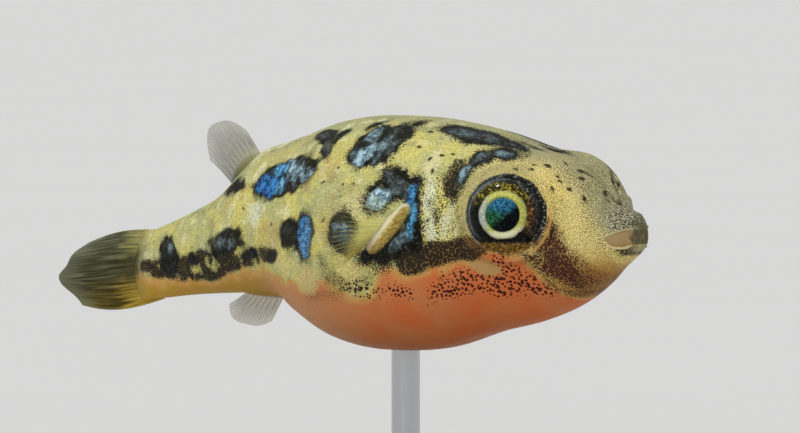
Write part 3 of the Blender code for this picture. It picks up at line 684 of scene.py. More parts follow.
def median_surface(column, ends, length, leans, arch, up):
    """A fin on the midline of the back or the belly: along runs from its front ray to its last. The rays
    lean back by these degrees, and their lengths follow this part of an arch, as shares of it."""
    def surface(along, out):
        behind = lerp(*ends, along)
        root = section(behind)[column] - FIN_SUNK * up
        lean = np.radians(lerp(*leans, along))
        reach = length * (0.25 + 0.75 * np.sin(math.pi * lerp(*arch, along)))
        reach = (reach + FIN_SUNK) * out * (1 + 0.02 * np.sin(11 * along))
        bend = 0.1 * out**2 * np.sin(4 * along + 0.5)
        sag = 0.1 * reach * out * np.cos(lean)
        return place(np.stack([
            behind + reach * np.cos(lean) + sag, bend, root + up * (reach * np.sin(lean) - sag),
        ], -1))
    return surface


def pectoral_root(along):
    """Where the root of a pectoral fin lies on the flank: behind, how far out, and height."""
    behind, height = (lerp(top, foot, along) for top, foot in zip(PECTORAL_TOP, PECTORAL_FOOT))
    cut = section(behind)
    reach, square = half_section(cut, height > cut["level"])
    share = (height - cut["level"]) / reach
    return behind, cut["half_width"] * (1 - share**square) ** (1 / square), height


def pectoral_surface(side):
    """The fan of a pectoral fin: along runs from its top ray to its lowest."""
    run, drop = PECTORAL_FOOT[0] - PECTORAL_TOP[0], PECTORAL_FOOT[1] - PECTORAL_TOP[1]
    across = np.array([-drop, run]) / math.hypot(run, drop)

    def surface(along, out):
        behind, half_width, height = pectoral_root(along)
        rise = np.radians(lerp(*PECTORAL_RISES, along))
        reach = PECTORAL_LENGTH * (0.86 + 0.14 * np.sin(math.pi * along))
        reach = (reach * (1 + 0.02 * np.sin(12 * along)) + FIN_SUNK) * out
        stand_out = PECTORAL_STAND_OUT + reach * PECTORAL_FLARE + 0.1 * out * np.sin(7 * along)
        return place(np.stack([
            behind + across[0] * PECTORAL_BACK + reach * np.cos(rise),
            side * (half_width + stand_out),
            height + across[1] * PECTORAL_BACK + reach * np.sin(rise),
        ], -1))
    return surface


def ray_profile(along, out, rays):
    """1 on a ray and 0 on the web between. Each ray forks towards its tip."""
    single = (0.5 + 0.5 * np.cos(2 * math.pi * rays * along)) ** 4
    forked = (0.5 + 0.5 * np.cos(4 * math.pi * rays * along + math.pi)) ** 3
    fork = fade(out, 0.42, 0.72)
    return single * (1 - fork) + forked * fork * 0.85


def make_fin(name, surface, rays, material):
    """A thin fin of web and rays, round both faces, with a rim that tapers to nothing."""
    along = np.linspace(0, 1, rays * POINTS_PER_RAY + 1)[:, None]
    out = np.linspace(0, 1, POINTS_OUT)[None, :]
    along, out = np.broadcast_arrays(along, out)
    middle = surface(along, out)
    normals = grid_normals(middle, False)
    ray = ray_profile(along, out, rays)
    rim = fade(np.minimum(np.minimum(along, 1 - along) * rays, (1 - out) * 12), 0, 0.35)
    half = (MEMBRANE / 2 + RAY / 2 * ray * (1 - 0.75 * out)) * (0.25 + 0.75 * rim)
    rows, columns = along.shape
    faces = grid_faces(rows, columns, False)
    total = rows * columns
    border = np.concatenate([
        np.arange(columns), np.arange(1, rows) * columns + columns - 1,
        (rows - 1) * columns + np.arange(columns - 2, -1, -1), np.arange(rows - 2, 0, -1) * columns,
    ])
    after = np.roll(border, -1)
    walls = np.stack([border, after, after + total, border + total], -1)
    faces = np.concatenate([faces, faces[:, ::-1] + total, walls]).tolist()
    shift = normals * half[..., None]
    points = np.concatenate([(middle + shift).reshape(-1, 3), (middle - shift).reshape(-1, 3)])
    fields = {"ray": ray, "along": along, "out": out}
    fields = {key: np.tile(values.ravel(), 2) for key, values in fields.items()}
    fin = make_object(f"{name}_web", points, faces, fields, material)
    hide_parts(name)


# --- the eyes ---

PUPIL_RADIUS, IRIS_RADIUS = 0.64, 0.9
PUPIL_SHIFT = (-0.02, -0.05)  # forward and up, off the middle of the eyeball
EYE_RINGS, EYE_AROUND = 72, 144
CORNEA_RADIUS = 1.385
IRIS_THICKNESS, CORNEA_THICKNESS = 0.22, 0.02


def eye_points(side, off, depth, angles, shift=(0.0, 0.0)):
    """Placed points on rings about an eye's axis, this far under the eyeball's surface. The inner rings
    are shifted forward and up."""
    middle, axis, ahead, upward = eye_frame(side)
    drift = np.clip(1 - off / EYE_RADIUS, 0, 1)[:, None] ** 0.5
    forward = off[:, None] * np.cos(angles) + shift[0] * drift
    up = off[:, None] * np.sin(angles) + shift[1] * drift
    height = ball_height(np.hypot(forward, up)) - depth[:, None]
    across = forward[..., None] * ahead + up[..., None] * upward
    return place(middle + across + height[..., None] * axis)


def make_dome(name, side, off, depth, thickness, material, shift=(0.0, 0.0)):
    """A closed dome about an eye's axis: its front lies at the depths, its back this much deeper."""
    angles = np.linspace(0, 2 * math.pi, EYE_AROUND, endpoint=False)
    front = eye_points(side, off, depth, angles, shift)
    back = eye_points(side, off[::-1], depth[::-1] + thickness, angles, shift)
    points = np.concatenate([front, back])
    faces = tube_faces(len(points), EYE_AROUND)
    radius = np.concatenate([off, off[::-1]])[:, None] * np.ones(EYE_AROUND)
    fields = {"radius": radius, "ahead": radius * np.cos(angles), "above": radius * np.sin(angles)}
    return make_object(name, points.reshape(-1, 3), faces, fields, material)


def make_eye(side_name, side, iris_material, cornea_material):
    """An iris with a sunken pupil and a raised ring round it, under a clear cornea."""
    off = np.concatenate([[0.01], np.linspace(0.04, LID_RADIUS + 0.02, EYE_RINGS)])
    ring = np.clip((off - PUPIL_RADIUS) / (IRIS_RADIUS - PUPIL_RADIUS), 0, 1)
    lens = 0.05 * np.sqrt(np.clip(1 - (off / PUPIL_RADIUS) ** 2, 0, 1))
    depth = 0.03 + 0.1 * fade(off, 1.25, IRIS_RADIUS) - lens
    depth = depth - 0.055 * np.sin(math.pi * ring) + 0.05 * ridge(off, PUPIL_RADIUS, 0.025)
    depth = depth + 0.03 * ridge(off, IRIS_RADIUS + 0.05, 0.05)
    iris = make_dome(f"eye_{side_name}_iris", side, off, depth, IRIS_THICKNESS, iris_material, PUPIL_SHIFT)
    off = np.concatenate([[0.01], np.linspace(0.04, CORNEA_RADIUS, EYE_RINGS // 2)])
    cornea = make_dome(f"eye_{side_name}_cornea", side, off, 0 * off, CORNEA_THICKNESS, cornea_material)
    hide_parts(f"eye_{side_name}")


# --- materials ---


class Value:
    """A number, colour or shader that a node gives, with arithmetic written as usual."""

    def __init__(self, look, socket):
        self.look, self.socket = look, socket

    def __add__(self, other):
        return self.look.math("ADD", self, other)

    def __sub__(self, other):
        return self.look.math("SUBTRACT", self, other)

    def __rsub__(self, other):
        return self.look.math("SUBTRACT", other, self)

    def __mul__(self, other):
        return self.look.math("MULTIPLY", self, other)

    def __truediv__(self, other):
        return self.look.math("DIVIDE", self, other)

    def step(self, low, high, start=0, stop=1):
        """Start below low, stop above high, and smooth between."""
        settings = {"interpolation_type": "SMOOTHSTEP"}
        return self.look.node("ShaderNodeMapRange", (self, low, high, start, stop), **settings)

    def ragged(self, size, depth):
        """A signed distance whose edge wanders in and out by this depth, in lumps of this size."""
        return self + self.look.noise(size).step(0.25, 0.75, -depth, depth)

    def shaded(self, strength):
        """A colour made darker or brighter by this factor."""
        return self.look.node("ShaderNodeVectorMath", {0: self, "Scale": strength}, operation="SCALE")

    def ramp(self, colours, places=None):
        """These colours in turn as the value runs from 0 to 1, evenly spread unless they have places."""
        turned = self.look.node("ShaderNodeValToRGB", (self,))
        elements = turned.socket.node.color_ramp.elements
        while len(elements) < len(colours):
            elements.new(0.5)
        for element, where, colour in zip(elements, places or np.linspace(0, 1, len(colours)), colours):
            element.position, element.color = where, (*colour, 1)
        return turned

    def bump(self, distance, strength, **under):
        """A bump whose full height is this many millimetres, over the Normal that is given."""
        inputs = {"Height": self, "Distance": distance * MM, "Strength": strength, **under}
        return self.look.node("ShaderNodeBump", inputs)


class Look:
    """One material's nodes."""

    def __init__(self, name):
        self.material = bpy.data.materials.new(name)
        self.material.use_nodes = True
        self.tree = self.material.node_tree
        self.place = self.node("ShaderNodeTexCoord", output="Object")

    def plug(self, socket, value):
        if isinstance(value, Value):
            self.tree.links.new(value.socket, socket)
        elif socket.type == "RGBA":
            socket.default_value = (*value, 1)
        else:
            socket.default_value = value

    def node(self, kind, inputs=(), output=0, **settings):
        """Adds a node, with its inputs in order or by name, and gives one of its outputs."""
        node = self.tree.nodes.new(kind)
        for setting, value in settings.items():
            setattr(node, setting, value)
        for key, value in inputs.items() if isinstance(inputs, dict) else enumerate(inputs):
            self.plug(node.inputs[key], value)
        return Value(self, node.outputs[output])

    def fields(self, *names):
        """What the mesh stores on its points under these names."""
        return [self.node("ShaderNodeAttribute", output="Fac", attribute_name=name) for name in names]

    def math(self, operation, a, b=0):
        return self.node("ShaderNodeMath", (a, b), operation=operation)

    def noise(self, size, detail=2, roughness=0.5, stretch=(1, 1, 1)):
        """Noise from about 0 to 1, with features this many millimetres across."""
        where = self.node("ShaderNodeVectorMath", (self.place, stretch), operation="MULTIPLY")
        inputs = {"Vector": where, "Scale": 1 / (size * MM), "Detail": detail, "Roughness": roughness}
        return self.node("ShaderNodeTexNoise", inputs, "Fac")

    def cells(self, size, flat=False):
        """Voronoi cells this many millimetres across: (distance, a random grey for each cell). Flat ones
        are laid out over the skin, so that each holds one whole dot."""
        inputs = {"Vector": self.place, "Scale": 1 / (size * MM)}
        if flat:
            flat_place = self.node("ShaderNodeCombineXYZ", self.fields("run", "drop"))
            inputs = {"Vector": flat_place, "Scale": 1 / size, "Randomness": 0.9}
        sides = "2D" if flat else "3D"
        away = self.node("ShaderNodeTexVoronoi", inputs, "Distance", voronoi_dimensions=sides)
        colour = Value(self, away.socket.node.outputs["Color"])
        return away, self.node("ShaderNodeSeparateColor", (colour,))

    def dots(self, size, reach, softness=0.16):
        """Dots in cells of this size in millimetres. The reach is their radius as a share of that size,
        and each differs a little."""
        away, vary = self.cells(size, True)
        return (vary.step(0, 1, 0.75, 1.15) * reach - away).step(-softness / 2, softness / 2)

    def finish(self, colour, roughness, **settings):
        settings = {"Base Color": colour, "Roughness": roughness, **settings}
        for name, value in settings.items():
            self.plug(self.tree.nodes["Principled BSDF"].inputs[name], value)
        return self.material


def mix(factor, a, b):
    """A colour this far from one to the other."""
    return factor.look.node("ShaderNodeMix", {0: factor, 6: a, 7: b}, 2, data_type="RGBA")


def blend(factor, a, b):
    """The same for two numbers."""
    return factor.look.node("ShaderNodeMix", {0: factor, 2: a, 3: b}, data_type="FLOAT")


def paint(ground, *coats):
    """Lays colours over the ground in turn, each through its own mask."""
    for mask, colour in coats:
        ground = mix(mask, ground, colour)
    return ground


# Where the tail fin leaves the skin, from its lower edge to its upper one, and how far apart those are.
GOLD, NIGHT, OLIVE = (0.36, 0.24, 0.035), (0.07, 0.06, 0.022), (0.31, 0.285, 0.095)
TAIL_ROOTS = (GOLD, GOLD, NIGHT, NIGHT, OLIVE, OLIVE)
TAIL_ROOT_HEIGHT = 2.9

# The hearts of the blotches as they turn from grey through cyan to blue, in their dark and bright tiles.
HEART_COLOURS = (
    ((0.05, 0.051, 0.044), (0.06, 0.09, 0.1), (0.12, 0.22, 0.27), (0.014, 0.09, 0.2), (0.006, 0.03, 0.12)),
    ((0.21, 0.23, 0.2), (0.27, 0.4, 0.44), (0.58, 0.83, 0.92), (0.14, 0.48, 0.76), (0.05, 0.25, 0.6)),
)

# The granular ring round each eye, from behind it to in front, and the flecks in it.
SLATE, SLATE_FLECK = ((0.1, 0.115, 0.115), (0.018, 0.018, 0.016)), (0.36, 0.4, 0.34)


def skin_ground(look):
    """The skin's own colour, under its marks: olive yellow above, salmon below, ochre under the tail, and
    painted shade that darkens the top of the back.
    """
    behind, down, slit, belly = look.fields("behind", "down", "above_slit", "belly")
    pale, cream = look.fields("pale", "cream")
    cloud = look.noise(1.3, 3).step(0.35, 0.65)
    snout = mix(cloud, (0.88, 0.66, 0.17), (0.78, 0.63, 0.2))
    snout = mix(down.step(2.6, 1.4), snout, (0.46, 0.42, 0.19))
    ground = mix(behind.step(3.5, 7), snout, mix(cloud, (0.66, 0.59, 0.17), (0.5, 0.5, 0.21)))
    on_trunk = behind.step(6.5, 9)
    smudges, flushes = look.noise(0.6, 4).step(0.5, 0.68), look.noise(0.8, 3).step(0.53, 0.68)
    amber = look.noise(2.4).step(0.5, 0.66) * behind.step(9, 12) * down.step(1.2, 2.6)
    ochre = mix(slit.step(-0.6, -1.6), (0.58, 0.33, 0.065), (0.4, 0.18, 0.028))
    peach = mix(look.noise(0.6).step(0.35, 0.65), (0.62, 0.4, 0.11), (0.64, 0.32, 0.09))
    salmon = paint(
        mix(look.noise(1.8, 3).step(0.35, 0.65), (0.66, 0.16, 0.045), (0.62, 0.205, 0.07)),
        (behind.step(8.5, 14), (0.6, 0.27, 0.11)),
        (behind.step(14.5, 18), (0.49, 0.28, 0.03)),
        (behind.step(2.8, 1.4), (0.48, 0.22, 0.055)),
    )
    light = mix(cream.step(-1, 0), (0.52, 0.33, 0.12), (0.7, 0.6, 0.22))
    edge = belly.ragged(0.8, 0.2)
    ground = paint(
        ground,
        (smudges * on_trunk * 0.62, (0.28, 0.28, 0.13)),
        # painted shade: the top of the back darker, less so towards the tail
        (down.step(2.6, 0.4) * behind.step(20.5, 16, 0.22, 0.62), (0.33, 0.33, 0.19)),
        (flushes * on_trunk * 0.62, (0.78, 0.77, 0.46)),
        (amber * 0.45, (0.55, 0.38, 0.12)),
        (behind.step(3.5, 1.7) * slit.step(-0.25, -1.1), ochre),
        (edge.step(-0.45, -0.05), peach),
        (edge.step(-0.15, 0.4), salmon),
        (pale.ragged(0.4, 0.1).step(-0.14, 0.18, 0, 0.88), mix(cream, light, (0.72, 0.74, 0.5))),
        (behind.ragged(0.5, 0.15).step(23.4, 24.7), (1 - down / TAIL_ROOT_HEIGHT).ramp(TAIL_ROOTS)),
    )
    return ground.shaded(blend(edge.step(-0.5, 0.3), look.noise(0.1).step(0.36, 0.64, 0.82, 1.14), 1))


def skin_dots(look, ground):
    """The fine dots over the yellow skin, the crowded dark bands and the coarse red-brown dots."""
    face, nape, behind, down, slit = look.fields("face", "nape", "behind", "down", "above_slit")
    pale, belly, crowd, brown, red = look.fields("pale", "belly", "crowd", "brown", "red")
    patchy = look.noise(0.9, 3).step(0.3, 0.7, 0.72, 1.15)
    away, vary = look.cells(0.054, True)
    glints = away.step(0.36, 0.58) * face * vary.step(0.1, 0.9, 0.35, 1)
    glints = glints * slit.step(-1.4, -0.2, 0.1, 0.8) * down.step(0.9, 2.6, 0.35, 1)
    grain = (face.step(0, 0.7, 0, 0.34) * patchy * vary.step(0, 1, 0.75, 1.15) - away).step(-0.1, 0.1)
    spots = nape.step(0, 0.8, 0, 0.32) * patchy * pale.step(-0.1, 0.15, 1, 0.55)
    away, stray = look.cells(0.5)
    stray = stray.step(0.62, 0.95, 0, 0.17) * behind.step(6, 7)
    stray = stray * belly.step(-0.2, -0.5) * behind.step(19, 17) - away
    on_tail = behind.step(14, 17)
    broken = look.noise(0.65, 3).step(0.34, 0.6, 0.3, 1.2)
    crowd = crowd * blend(on_tail, look.noise(0.55).step(0.25, 0.65, 0.72, 1.12), broken)
    wash = mix(brown, (0.105, 0.078, 0.024), (0.26, 0.095, 0.036))
    packed = look.dots(0.078, crowd.step(0.02, 0.9, 0.12, 0.66), 0.2) * crowd.step(0.02, 0.15)
    red = look.math("MINIMUM", red.ragged(0.6, 0.16), pale * -2)
    return paint(
        ground,
        (glints, (0.95, 0.86, 0.42)),
        (grain * down.step(3.6, 2.2, 0.66, 0.88), (0.11, 0.07, 0.022)),
        (look.dots(0.112, spots) * 0.95, (0.028, 0.024, 0.014)),
        (stray.step(-0.03, 0.05) * 0.85, (0.045, 0.036, 0.018)),
        (crowd.step(0.12, 0.85, 0, 0.9), mix(on_tail, wash, (0.075, 0.056, 0.012))),
        (packed * 0.94, mix(brown, (0.012, 0.01, 0.008), (0.045, 0.016, 0.012))),
        (look.dots(0.165, red.step(-0.3, 0.12, 0, 0.36)), (0.06, 0.013, 0.009)),
        (look.dots(0.36, red.step(-0.05, 0.2, 0, 0.2), 0.08), (0.055, 0.012, 0.009)),
    )


def skin_blotches(look, ground):
    """Charcoal blotches, their grey to bright blue hearts of fine shining tiles, and dark freckles."""
    blotch, heart, light, blue = look.fields("blotch", "heart", "light", "blue")
    behind, freckle = look.fields("behind", "freckle")
    _, tile = look.cells(0.085)
    edge = blotch.ragged(0.45, 0.08)
    fringe = edge.step(-0.3, -0.02) * behind.step(14, 8, 0.35, 1)
    soot = mix(look.noise(0.28).step(0.45, 0.75), (0.004, 0.004, 0.003), (0.017, 0.017, 0.014))
    heart = heart.ragged(0.22, 0.05).step(-0.09, 0.13) * edge.step(0, 0.12) * light
    deep, bright = (blue.ramp(colours, (0, 0.3, 0.6, 0.85, 1)) for colours in HEART_COLOURS)
    sheen = tile + look.noise(0.34).step(0.3, 0.7, -0.45, 0.45)
    return paint(
        ground,
        (look.dots(0.09, fringe * 0.52, 0.2) * 0.9, (0.03, 0.026, 0.018)),
        (edge.step(-0.09, 0.08, 0, 0.98), mix(tile.step(0.84, 1, 0, 0.4), soot, (0.1, 0.11, 0.095))),
        (heart, mix(sheen.step(0, 1.05), deep, bright)),
        (freckle.ragged(0.1, 0.03).step(-0.03, 0.03, 0, 0.95), (0.018, 0.014, 0.008)),
    )


def skin_orbit(look, ground):
    """The rings round the eyes: slate with pale flecks, tan behind and above, orange folds below."""
    orbit, ahead, above = look.fields("orbit", "orbit_ahead", "orbit_above")
    _, vary = look.cells(0.075)
    rust = mix(vary.step(0.4, 0.9), (0.18, 0.075, 0.018), (0.5, 0.28, 0.05))
    slate = paint(
        mix(ahead.step(-0.9, 0.3), *SLATE),
        (above.step(-0.55, -0.85, 0, 0.85), rust),
        (vary.step(0.78, 0.98, 0, 0.55), SLATE_FLECK),
    )
    tan = paint(
        mix(above.step(0.1, -0.8), (0.5, 0.44, 0.2), (0.44, 0.22, 0.05)),
        (ahead.step(0.2, 0.9, 0, 0.45), (0.16, 0.1, 0.04)),
        (look.dots(0.08, 0.42, 0.2), (0.03, 0.024, 0.012)),
    )
    ring = (orbit - ahead * 0.07).ragged(0.35, 0.03)
    fold = ring.step(1.46, 1.56) * ring.step(2.05, 1.78) * (above + ahead * -0.3).step(-0.95, -0.3)
    arc = orbit.step(1.66, 1.72) * orbit.step(1.84, 1.77)
    arc = arc * (ahead - above * 0.55).step(0.75, 1.1, 0, 0.75) * above.step(-0.92, -0.7)
    fold = fold * ahead.step(0.75, 0.25) * 0.5
    return paint(ground, (fold, tan), (ring.step(1.56, 1.49), slate), (arc, (0.56, 0.31, 0.08)))


def skin_mouth(look, ground):
    """The grey grainy snout tip, the smooth pink inner lip and its pale rim, and the olive front, with
    painted shade along the crease under the forehead.
    """
    muzzle, lip, slit, behind, crease = look.fields("muzzle", "lip", "above_slit", "behind", "crease")
    grey = muzzle * slit.step(0.3, 0.75)
    front = behind.ragged(0.25, 0.06)
    patch = slit.step(0, -0.06) * slit.step(-0.38, -0.26)
    patch = patch * front.step(-0.02, 0.06) * front.step(0.52, 0.34)
    ridges = look.noise(0.12, 2, 0.5, (0.35, 1, 0.25))
    olive = mix(ridges.step(0.35, 0.65), (0.085, 0.075, 0.034), (0.15, 0.135, 0.066))
    low = slit + look.noise(0.22).step(0.3, 0.7, -0.12, 0.12)
    pink = mix(low.step(0.2, -0.12), (0.39, 0.27, 0.125), (0.45, 0.235, 0.08))
    rim = lip.step(-0.085, -0.03) * lip.step(0.02, -0.02) * front.step(-0.02, 0.12)
    return paint(
        ground,
        (grey * 0.6, (0.52, 0.48, 0.32)),
        (look.dots(0.08, 0.47, 0.2) * grey * 0.92, (0.04, 0.036, 0.028)),
        # painted shade in the crease under the forehead
        (crease.step(0.1, 0.02, 0, 0.7), (0.06, 0.056, 0.04)),
        (patch * 0.8, (0.22, 0.17, 0.08)),
        (look.dots(0.095, 0.5) * patch, (0.022, 0.018, 0.012)),
        (rim * 0.8, (0.72, 0.62, 0.34)),
        (lip.step(-0.01, 0.03), mix(front.step(0.06, -0.05) * 0.92, pink, olive)),
        (front.step(0.06, -0.02) * slit.step(-0.02, 0.05) * 0.8, olive),
        (front.step(0.12, 0.04) * slit.step(-0.06, -0.16) * 0.75, (0.38, 0.34, 0.19)),
    )


def skin_lobes(look, ground):
    """The fleshy bases of the pectoral fins: cream above, granular gold along the lower edge."""
    lobe, back, share = look.fields("lobe", "lobe_back", "lobe_share")
    _, vary = look.cells(0.08)
    cream = mix(look.noise(0.4).step(0.35, 0.65), (0.72, 0.64, 0.42), (0.76, 0.71, 0.48))
    yolk = mix(vary.step(0.2, 0.9), (0.48, 0.31, 0.06), (0.8, 0.62, 0.18))
    tone = paint(cream, (back.step(-0.05, -0.6), yolk), (share.step(0.6, 1, 0, 0.7), (0.26, 0.16, 0.05)))
    shadow = lobe.step(-0.13, -0.03, 0, 0.35)
    return paint(ground, (shadow, (0.02, 0.016, 0.012)), (lobe.step(-0.05, 0.05), tone))


def skin_material():
    look = Look("pea_puffer_skin")
    colour = skin_ground(look)
    for marks in (skin_dots, skin_blotches, skin_orbit, skin_mouth, skin_lobes):
        colour = marks(look, colour)
    belly, lip = look.fields("belly", "lip")
    away, _ = look.cells(0.115, True)
    grains = away.step(0.75, 0.05) * (belly.step(-0.4, 0.3, 1, 0.35) * lip.step(0, -0.1, 0.2, 1))
    normal = grains.bump(0.018, 0.6, Normal=look.noise(0.55, 3).bump(0.03, 0.6))
    shine = {"Specular IOR Level": 0.06, "Coat Weight": 0.03, "Coat Roughness": 0.18}
    return look.finish(colour, look.noise(0.3).step(0.3, 0.7, 0.4, 0.58), Normal=normal, **shine)


def fin_material(name, roots, webs, tip, covers, bare=-1.0, low=1.0):
    """A membrane with rays. The roots and webs are its colours from the first edge to the last, and the
    covers are how much light its web, rays, tip and root hold back. The root is clear before bare, and
    the pale streaks near the first edge are this strong."""
    look = Look(name)
    web, rays, end, root_cover = covers
    ray, along, out = look.fields("ray", "along", "out")
    sway = along + look.noise(1.2).step(0.2, 0.8, -0.08, 0.08)
    fan = look.node("ShaderNodeCombineXYZ", (along * 34, out * 3))
    inputs = {"Vector": fan, "Scale": 1, "Detail": 3}
    streaks = look.node("ShaderNodeTexNoise", inputs, "Fac", noise_dimensions="2D")
    pale = look.math("MAXIMUM", streaks.step(0.48, 0.28, 0, 0.55), ray * 0.25)
    pale = pale * out.step(0.1, 0.5, 0.6, 1) * along.step(0.15, 0.45, low, 1)
    root = (out + streaks.step(0.3, 0.7, -0.08, 0.08)).step(0.52, 0.24)
    membrane = sway.ramp(webs)
    colour = paint(
        membrane,
        (streaks.step(0.4, 0.66, 0, 0.75), membrane.shaded(0.35)),
        (pale, tip),
        (out.step(0.7, 1, 0, 0.5), tip),
        (root, sway.ramp(roots).shaded(streaks.step(0.36, 0.64, 1.1, 0.85))),
    )
    cover = ray.step(0.15, 0.75, web, rays) * out.step(0.45, 1, 1, end)
    root_cover = out.step(0.42, 0.14, 0, root_cover) * along.step(bare, bare + 0.2)
    shine = {"Alpha": look.math("MAXIMUM", cover, root_cover), "Specular IOR Level": 0.05}
    return look.finish(colour, streaks.step(0.3, 0.7, 0.34, 0.5), Normal=streaks.bump(0.02, 0.4), **shine)


def iris_material():
    """The blue-green pupil, the bright ring round it, and the dark, gold-flecked outer iris."""
    look = Look("pea_puffer_iris")
    radius, ahead, above = look.fields("radius", "ahead", "above")
    (_, vary), (_, coarse) = look.cells(0.042), look.cells(0.066)
    blue = mix(vary.step(0.15, 0.95), (0.003, 0.036, 0.1), (0.04, 0.26, 0.43))
    green = mix(vary.step(0.25, 0.95), (0.002, 0.022, 0.01), (0.045, 0.23, 0.09))
    navy = mix(vary.step(0.75, 1), (0.0005, 0.001, 0.002), (0.004, 0.02, 0.034))
    tilt = above + ahead * 0.2 + coarse.step(0, 1, -0.1, 0.1)
    shade = ahead * 0.9 - above + coarse.step(0, 1, -0.08, 0.08)
    pupil = paint(
        green,
        (tilt.step(-0.1, 0.26), blue),
        (shade.step(-0.06, 0.26), navy),
        ((shade + ahead * 0.4 + radius).step(1, 1.25, 0, 0.8), navy),
    )
    silver = mix(vary.step(0.2, 0.9), (0.34, 0.4, 0.34), (0.66, 0.74, 0.62))
    lemon = mix(vary.step(0.2, 0.9), (0.42, 0.43, 0.08), (0.76, 0.74, 0.2))
    lean = above + coarse.step(0, 1, -0.06, 0.06) + ahead * -0.15
    ring = paint(
        silver,
        (ahead.step(-0.78, -0.4), lemon),
        # painted highlight: a pale crescent along the bottom of the ring
        (lean.step(-0.5, -0.7), (0.95, 0.93, 0.6)),
        (radius.step(0.8, 0.92, 0, 0.55), (0.26, 0.25, 0.1)),
    )
    night = mix(vary.step(0.75, 1), (0.003, 0.003, 0.003), (0.03, 0.034, 0.028))
    gold = mix(coarse.step(0.45, 0.95), (0.026, 0.022, 0.005), (0.4, 0.32, 0.045))
    rust = mix(coarse.step(0.45, 0.95), (0.05, 0.024, 0.01), (0.42, 0.2, 0.05))
    olive = mix(coarse.step(0.35, 0.9), (0.1, 0.06, 0.014), (0.5, 0.3, 0.05))
    lit = (above - ahead * 0.5).step(-0.7, 0.5, 0.25, 0.75)
    slate = mix(vary.step(0.76, 0.98) * lit, mix(ahead.step(-1, 0.2), *SLATE), SLATE_FLECK)
    belt = (radius + ahead * 0.055).ragged(0.3, 0.02)
    outer = paint(
        night,
        (above.step(0.25, 0.8), gold),
        ((ahead - look.math("ABSOLUTE", above) * 0.8).step(0.2, 0.8, 0, 0.9), rust),
        (above.step(-0.98, -1.14), olive),
        (belt.step(1.19, 1.24) * above.step(-0.9, -0.5), slate),
    )
    rim = radius.ragged(0.25, 0.02).step(IRIS_RADIUS - 0.03, IRIS_RADIUS + 0.03)
    colour = mix(radius.step(PUPIL_RADIUS - 0.02, PUPIL_RADIUS + 0.02), pupil, mix(rim, ring, outer))
    shine = {"Normal": vary.bump(0.008, 0.4), "Specular IOR Level": 0.04}
    return look.finish(colour, vary.step(0, 1, 0.35, 0.55), **shine)


def cornea_material():
    """Clear and wet: it reflects, and lets all other light straight through."""
    look = Look("pea_puffer_cornea")
    nodes = look.tree.nodes
    nodes.remove(nodes["Principled BSDF"])
    clear = look.node("ShaderNodeBsdfTransparent")
    gloss = look.node("ShaderNodeBsdfGlossy", {"Roughness": 0.06})
    share = look.node("ShaderNodeFresnel", {"IOR": 1.11})
    mixed = look.node("ShaderNodeMixShader", (share, clear, gloss))
    look.plug(nodes["Material Output"].inputs["Surface"], mixed)
    return look.material


def base_material():
    """Satin black lacquer on turned metal, its tone and gloss a little uneven."""
    look = Look("stand_lacquer")
    cloud = look.noise(2.5, 4)
    colour = mix(cloud.step(0.35, 0.7), (0.02, 0.02, 0.022), (0.034, 0.034, 0.036))
    return look.finish(colour, cloud.step(0.3, 0.7, 0.3, 0.42), Normal=look.noise(0.25).bump(0.01, 0.25))


def rod_material():
    """Steel brushed along its length."""
    look = Look("stand_steel")
    lines = look.noise(0.05, 3, 0.6, stretch=(1, 1, 0.03))
    colour = mix(lines, (0.46, 0.47, 0.48), (0.66, 0.66, 0.67))
    shine = {"Normal": lines.bump(0.006, 0.3), "Metallic": 1}
    return look.finish(colour, lines.step(0.3, 0.7, 0.24, 0.38), **shine)


# --- staging ---

CAMERA_AZIMUTH, CAMERA_ELEVATION, CAMERA_DISTANCE = 32.0, 3.0, 200.0
FRAME_WIDTH = 29.85  # how much of the scene the picture spans at that distance
MOUTH_RIGHT, MOUTH_BELOW = 8.96, 0.88  # of the middle of the picture, seen at that distance
MOUTH_OVER_BELLY = 4.52
FLOOR_RADIUS = 6000.0
AMBIENT, BACKDROP = ((0.97, 0.985, 1), 0.48), ((0.99, 0.99, 0.98), 0.72)  # colour and strength


def view_axes():
    """The directions from the fish to the camera, to the picture's right, and up it."""
    azimuth, elevation = math.radians(CAMERA_AZIMUTH), math.radians(CAMERA_ELEVATION)
    level = Vector((math.sin(azimuth), -math.cos(azimuth), 0))
    back = level * math.cos(elevation) + Vector((0, 0, math.sin(elevation)))
    right = Vector((math.cos(azimuth), math.sin(azimuth), 0))
    return back, right, back.cross(right)


def make_camera():
    back, right, up = view_axes()
    mouth = Vector((ROD_BEHIND, 0.0, BELLY_HEIGHT + MOUTH_OVER_BELLY))
    data = bpy.data.cameras.new("camera")
    data.lens = data.sensor_width * CAMERA_DISTANCE / FRAME_WIDTH
    data.clip_start, data.clip_end = 1 * MM, 20000 * MM
    camera = add_object("camera", data)
    camera.location = (mouth + back * CAMERA_DISTANCE) * MM
    target = (mouth - right * MOUTH_RIGHT + up * MOUTH_BELOW) * MM
    camera.rotation_euler = (target - camera.location).to_track_quat("-Z", "Y").to_euler()
    bpy.context.scene.camera = camera


def make_sun(name, towards_right, towards_up, towards_camera, spread, strength):
    """A far light that comes from a direction given along the camera's view."""
    back, right, up = view_axes()
    data = bpy.data.lights.new(name, "SUN")
    data.angle = math.radians(spread)
    data.energy = strength
    direction = right * towards_right + up * towards_up + back * towards_camera
    add_object(name, data).rotation_euler = direction.to_track_quat("Z", "Y").to_euler()


def make_floor():
    look = Look("floor_plain")
    colour = mix(look.noise(40), (0.735, 0.73, 0.72), (0.745, 0.74, 0.73))
    material = look.finish(colour, 0.8, **{"Specular IOR Level": 0})
    mesh = bpy.data.meshes.new("floor")
    far = FLOOR_RADIUS * MM
    mesh.from_pydata([(-far, -far, 0), (far, -far, 0), (far, far, 0), (-far, far, 0)], [], [(0, 1, 2, 3)])
    mesh.materials.append(material)
    floor = add_object("floor", mesh)


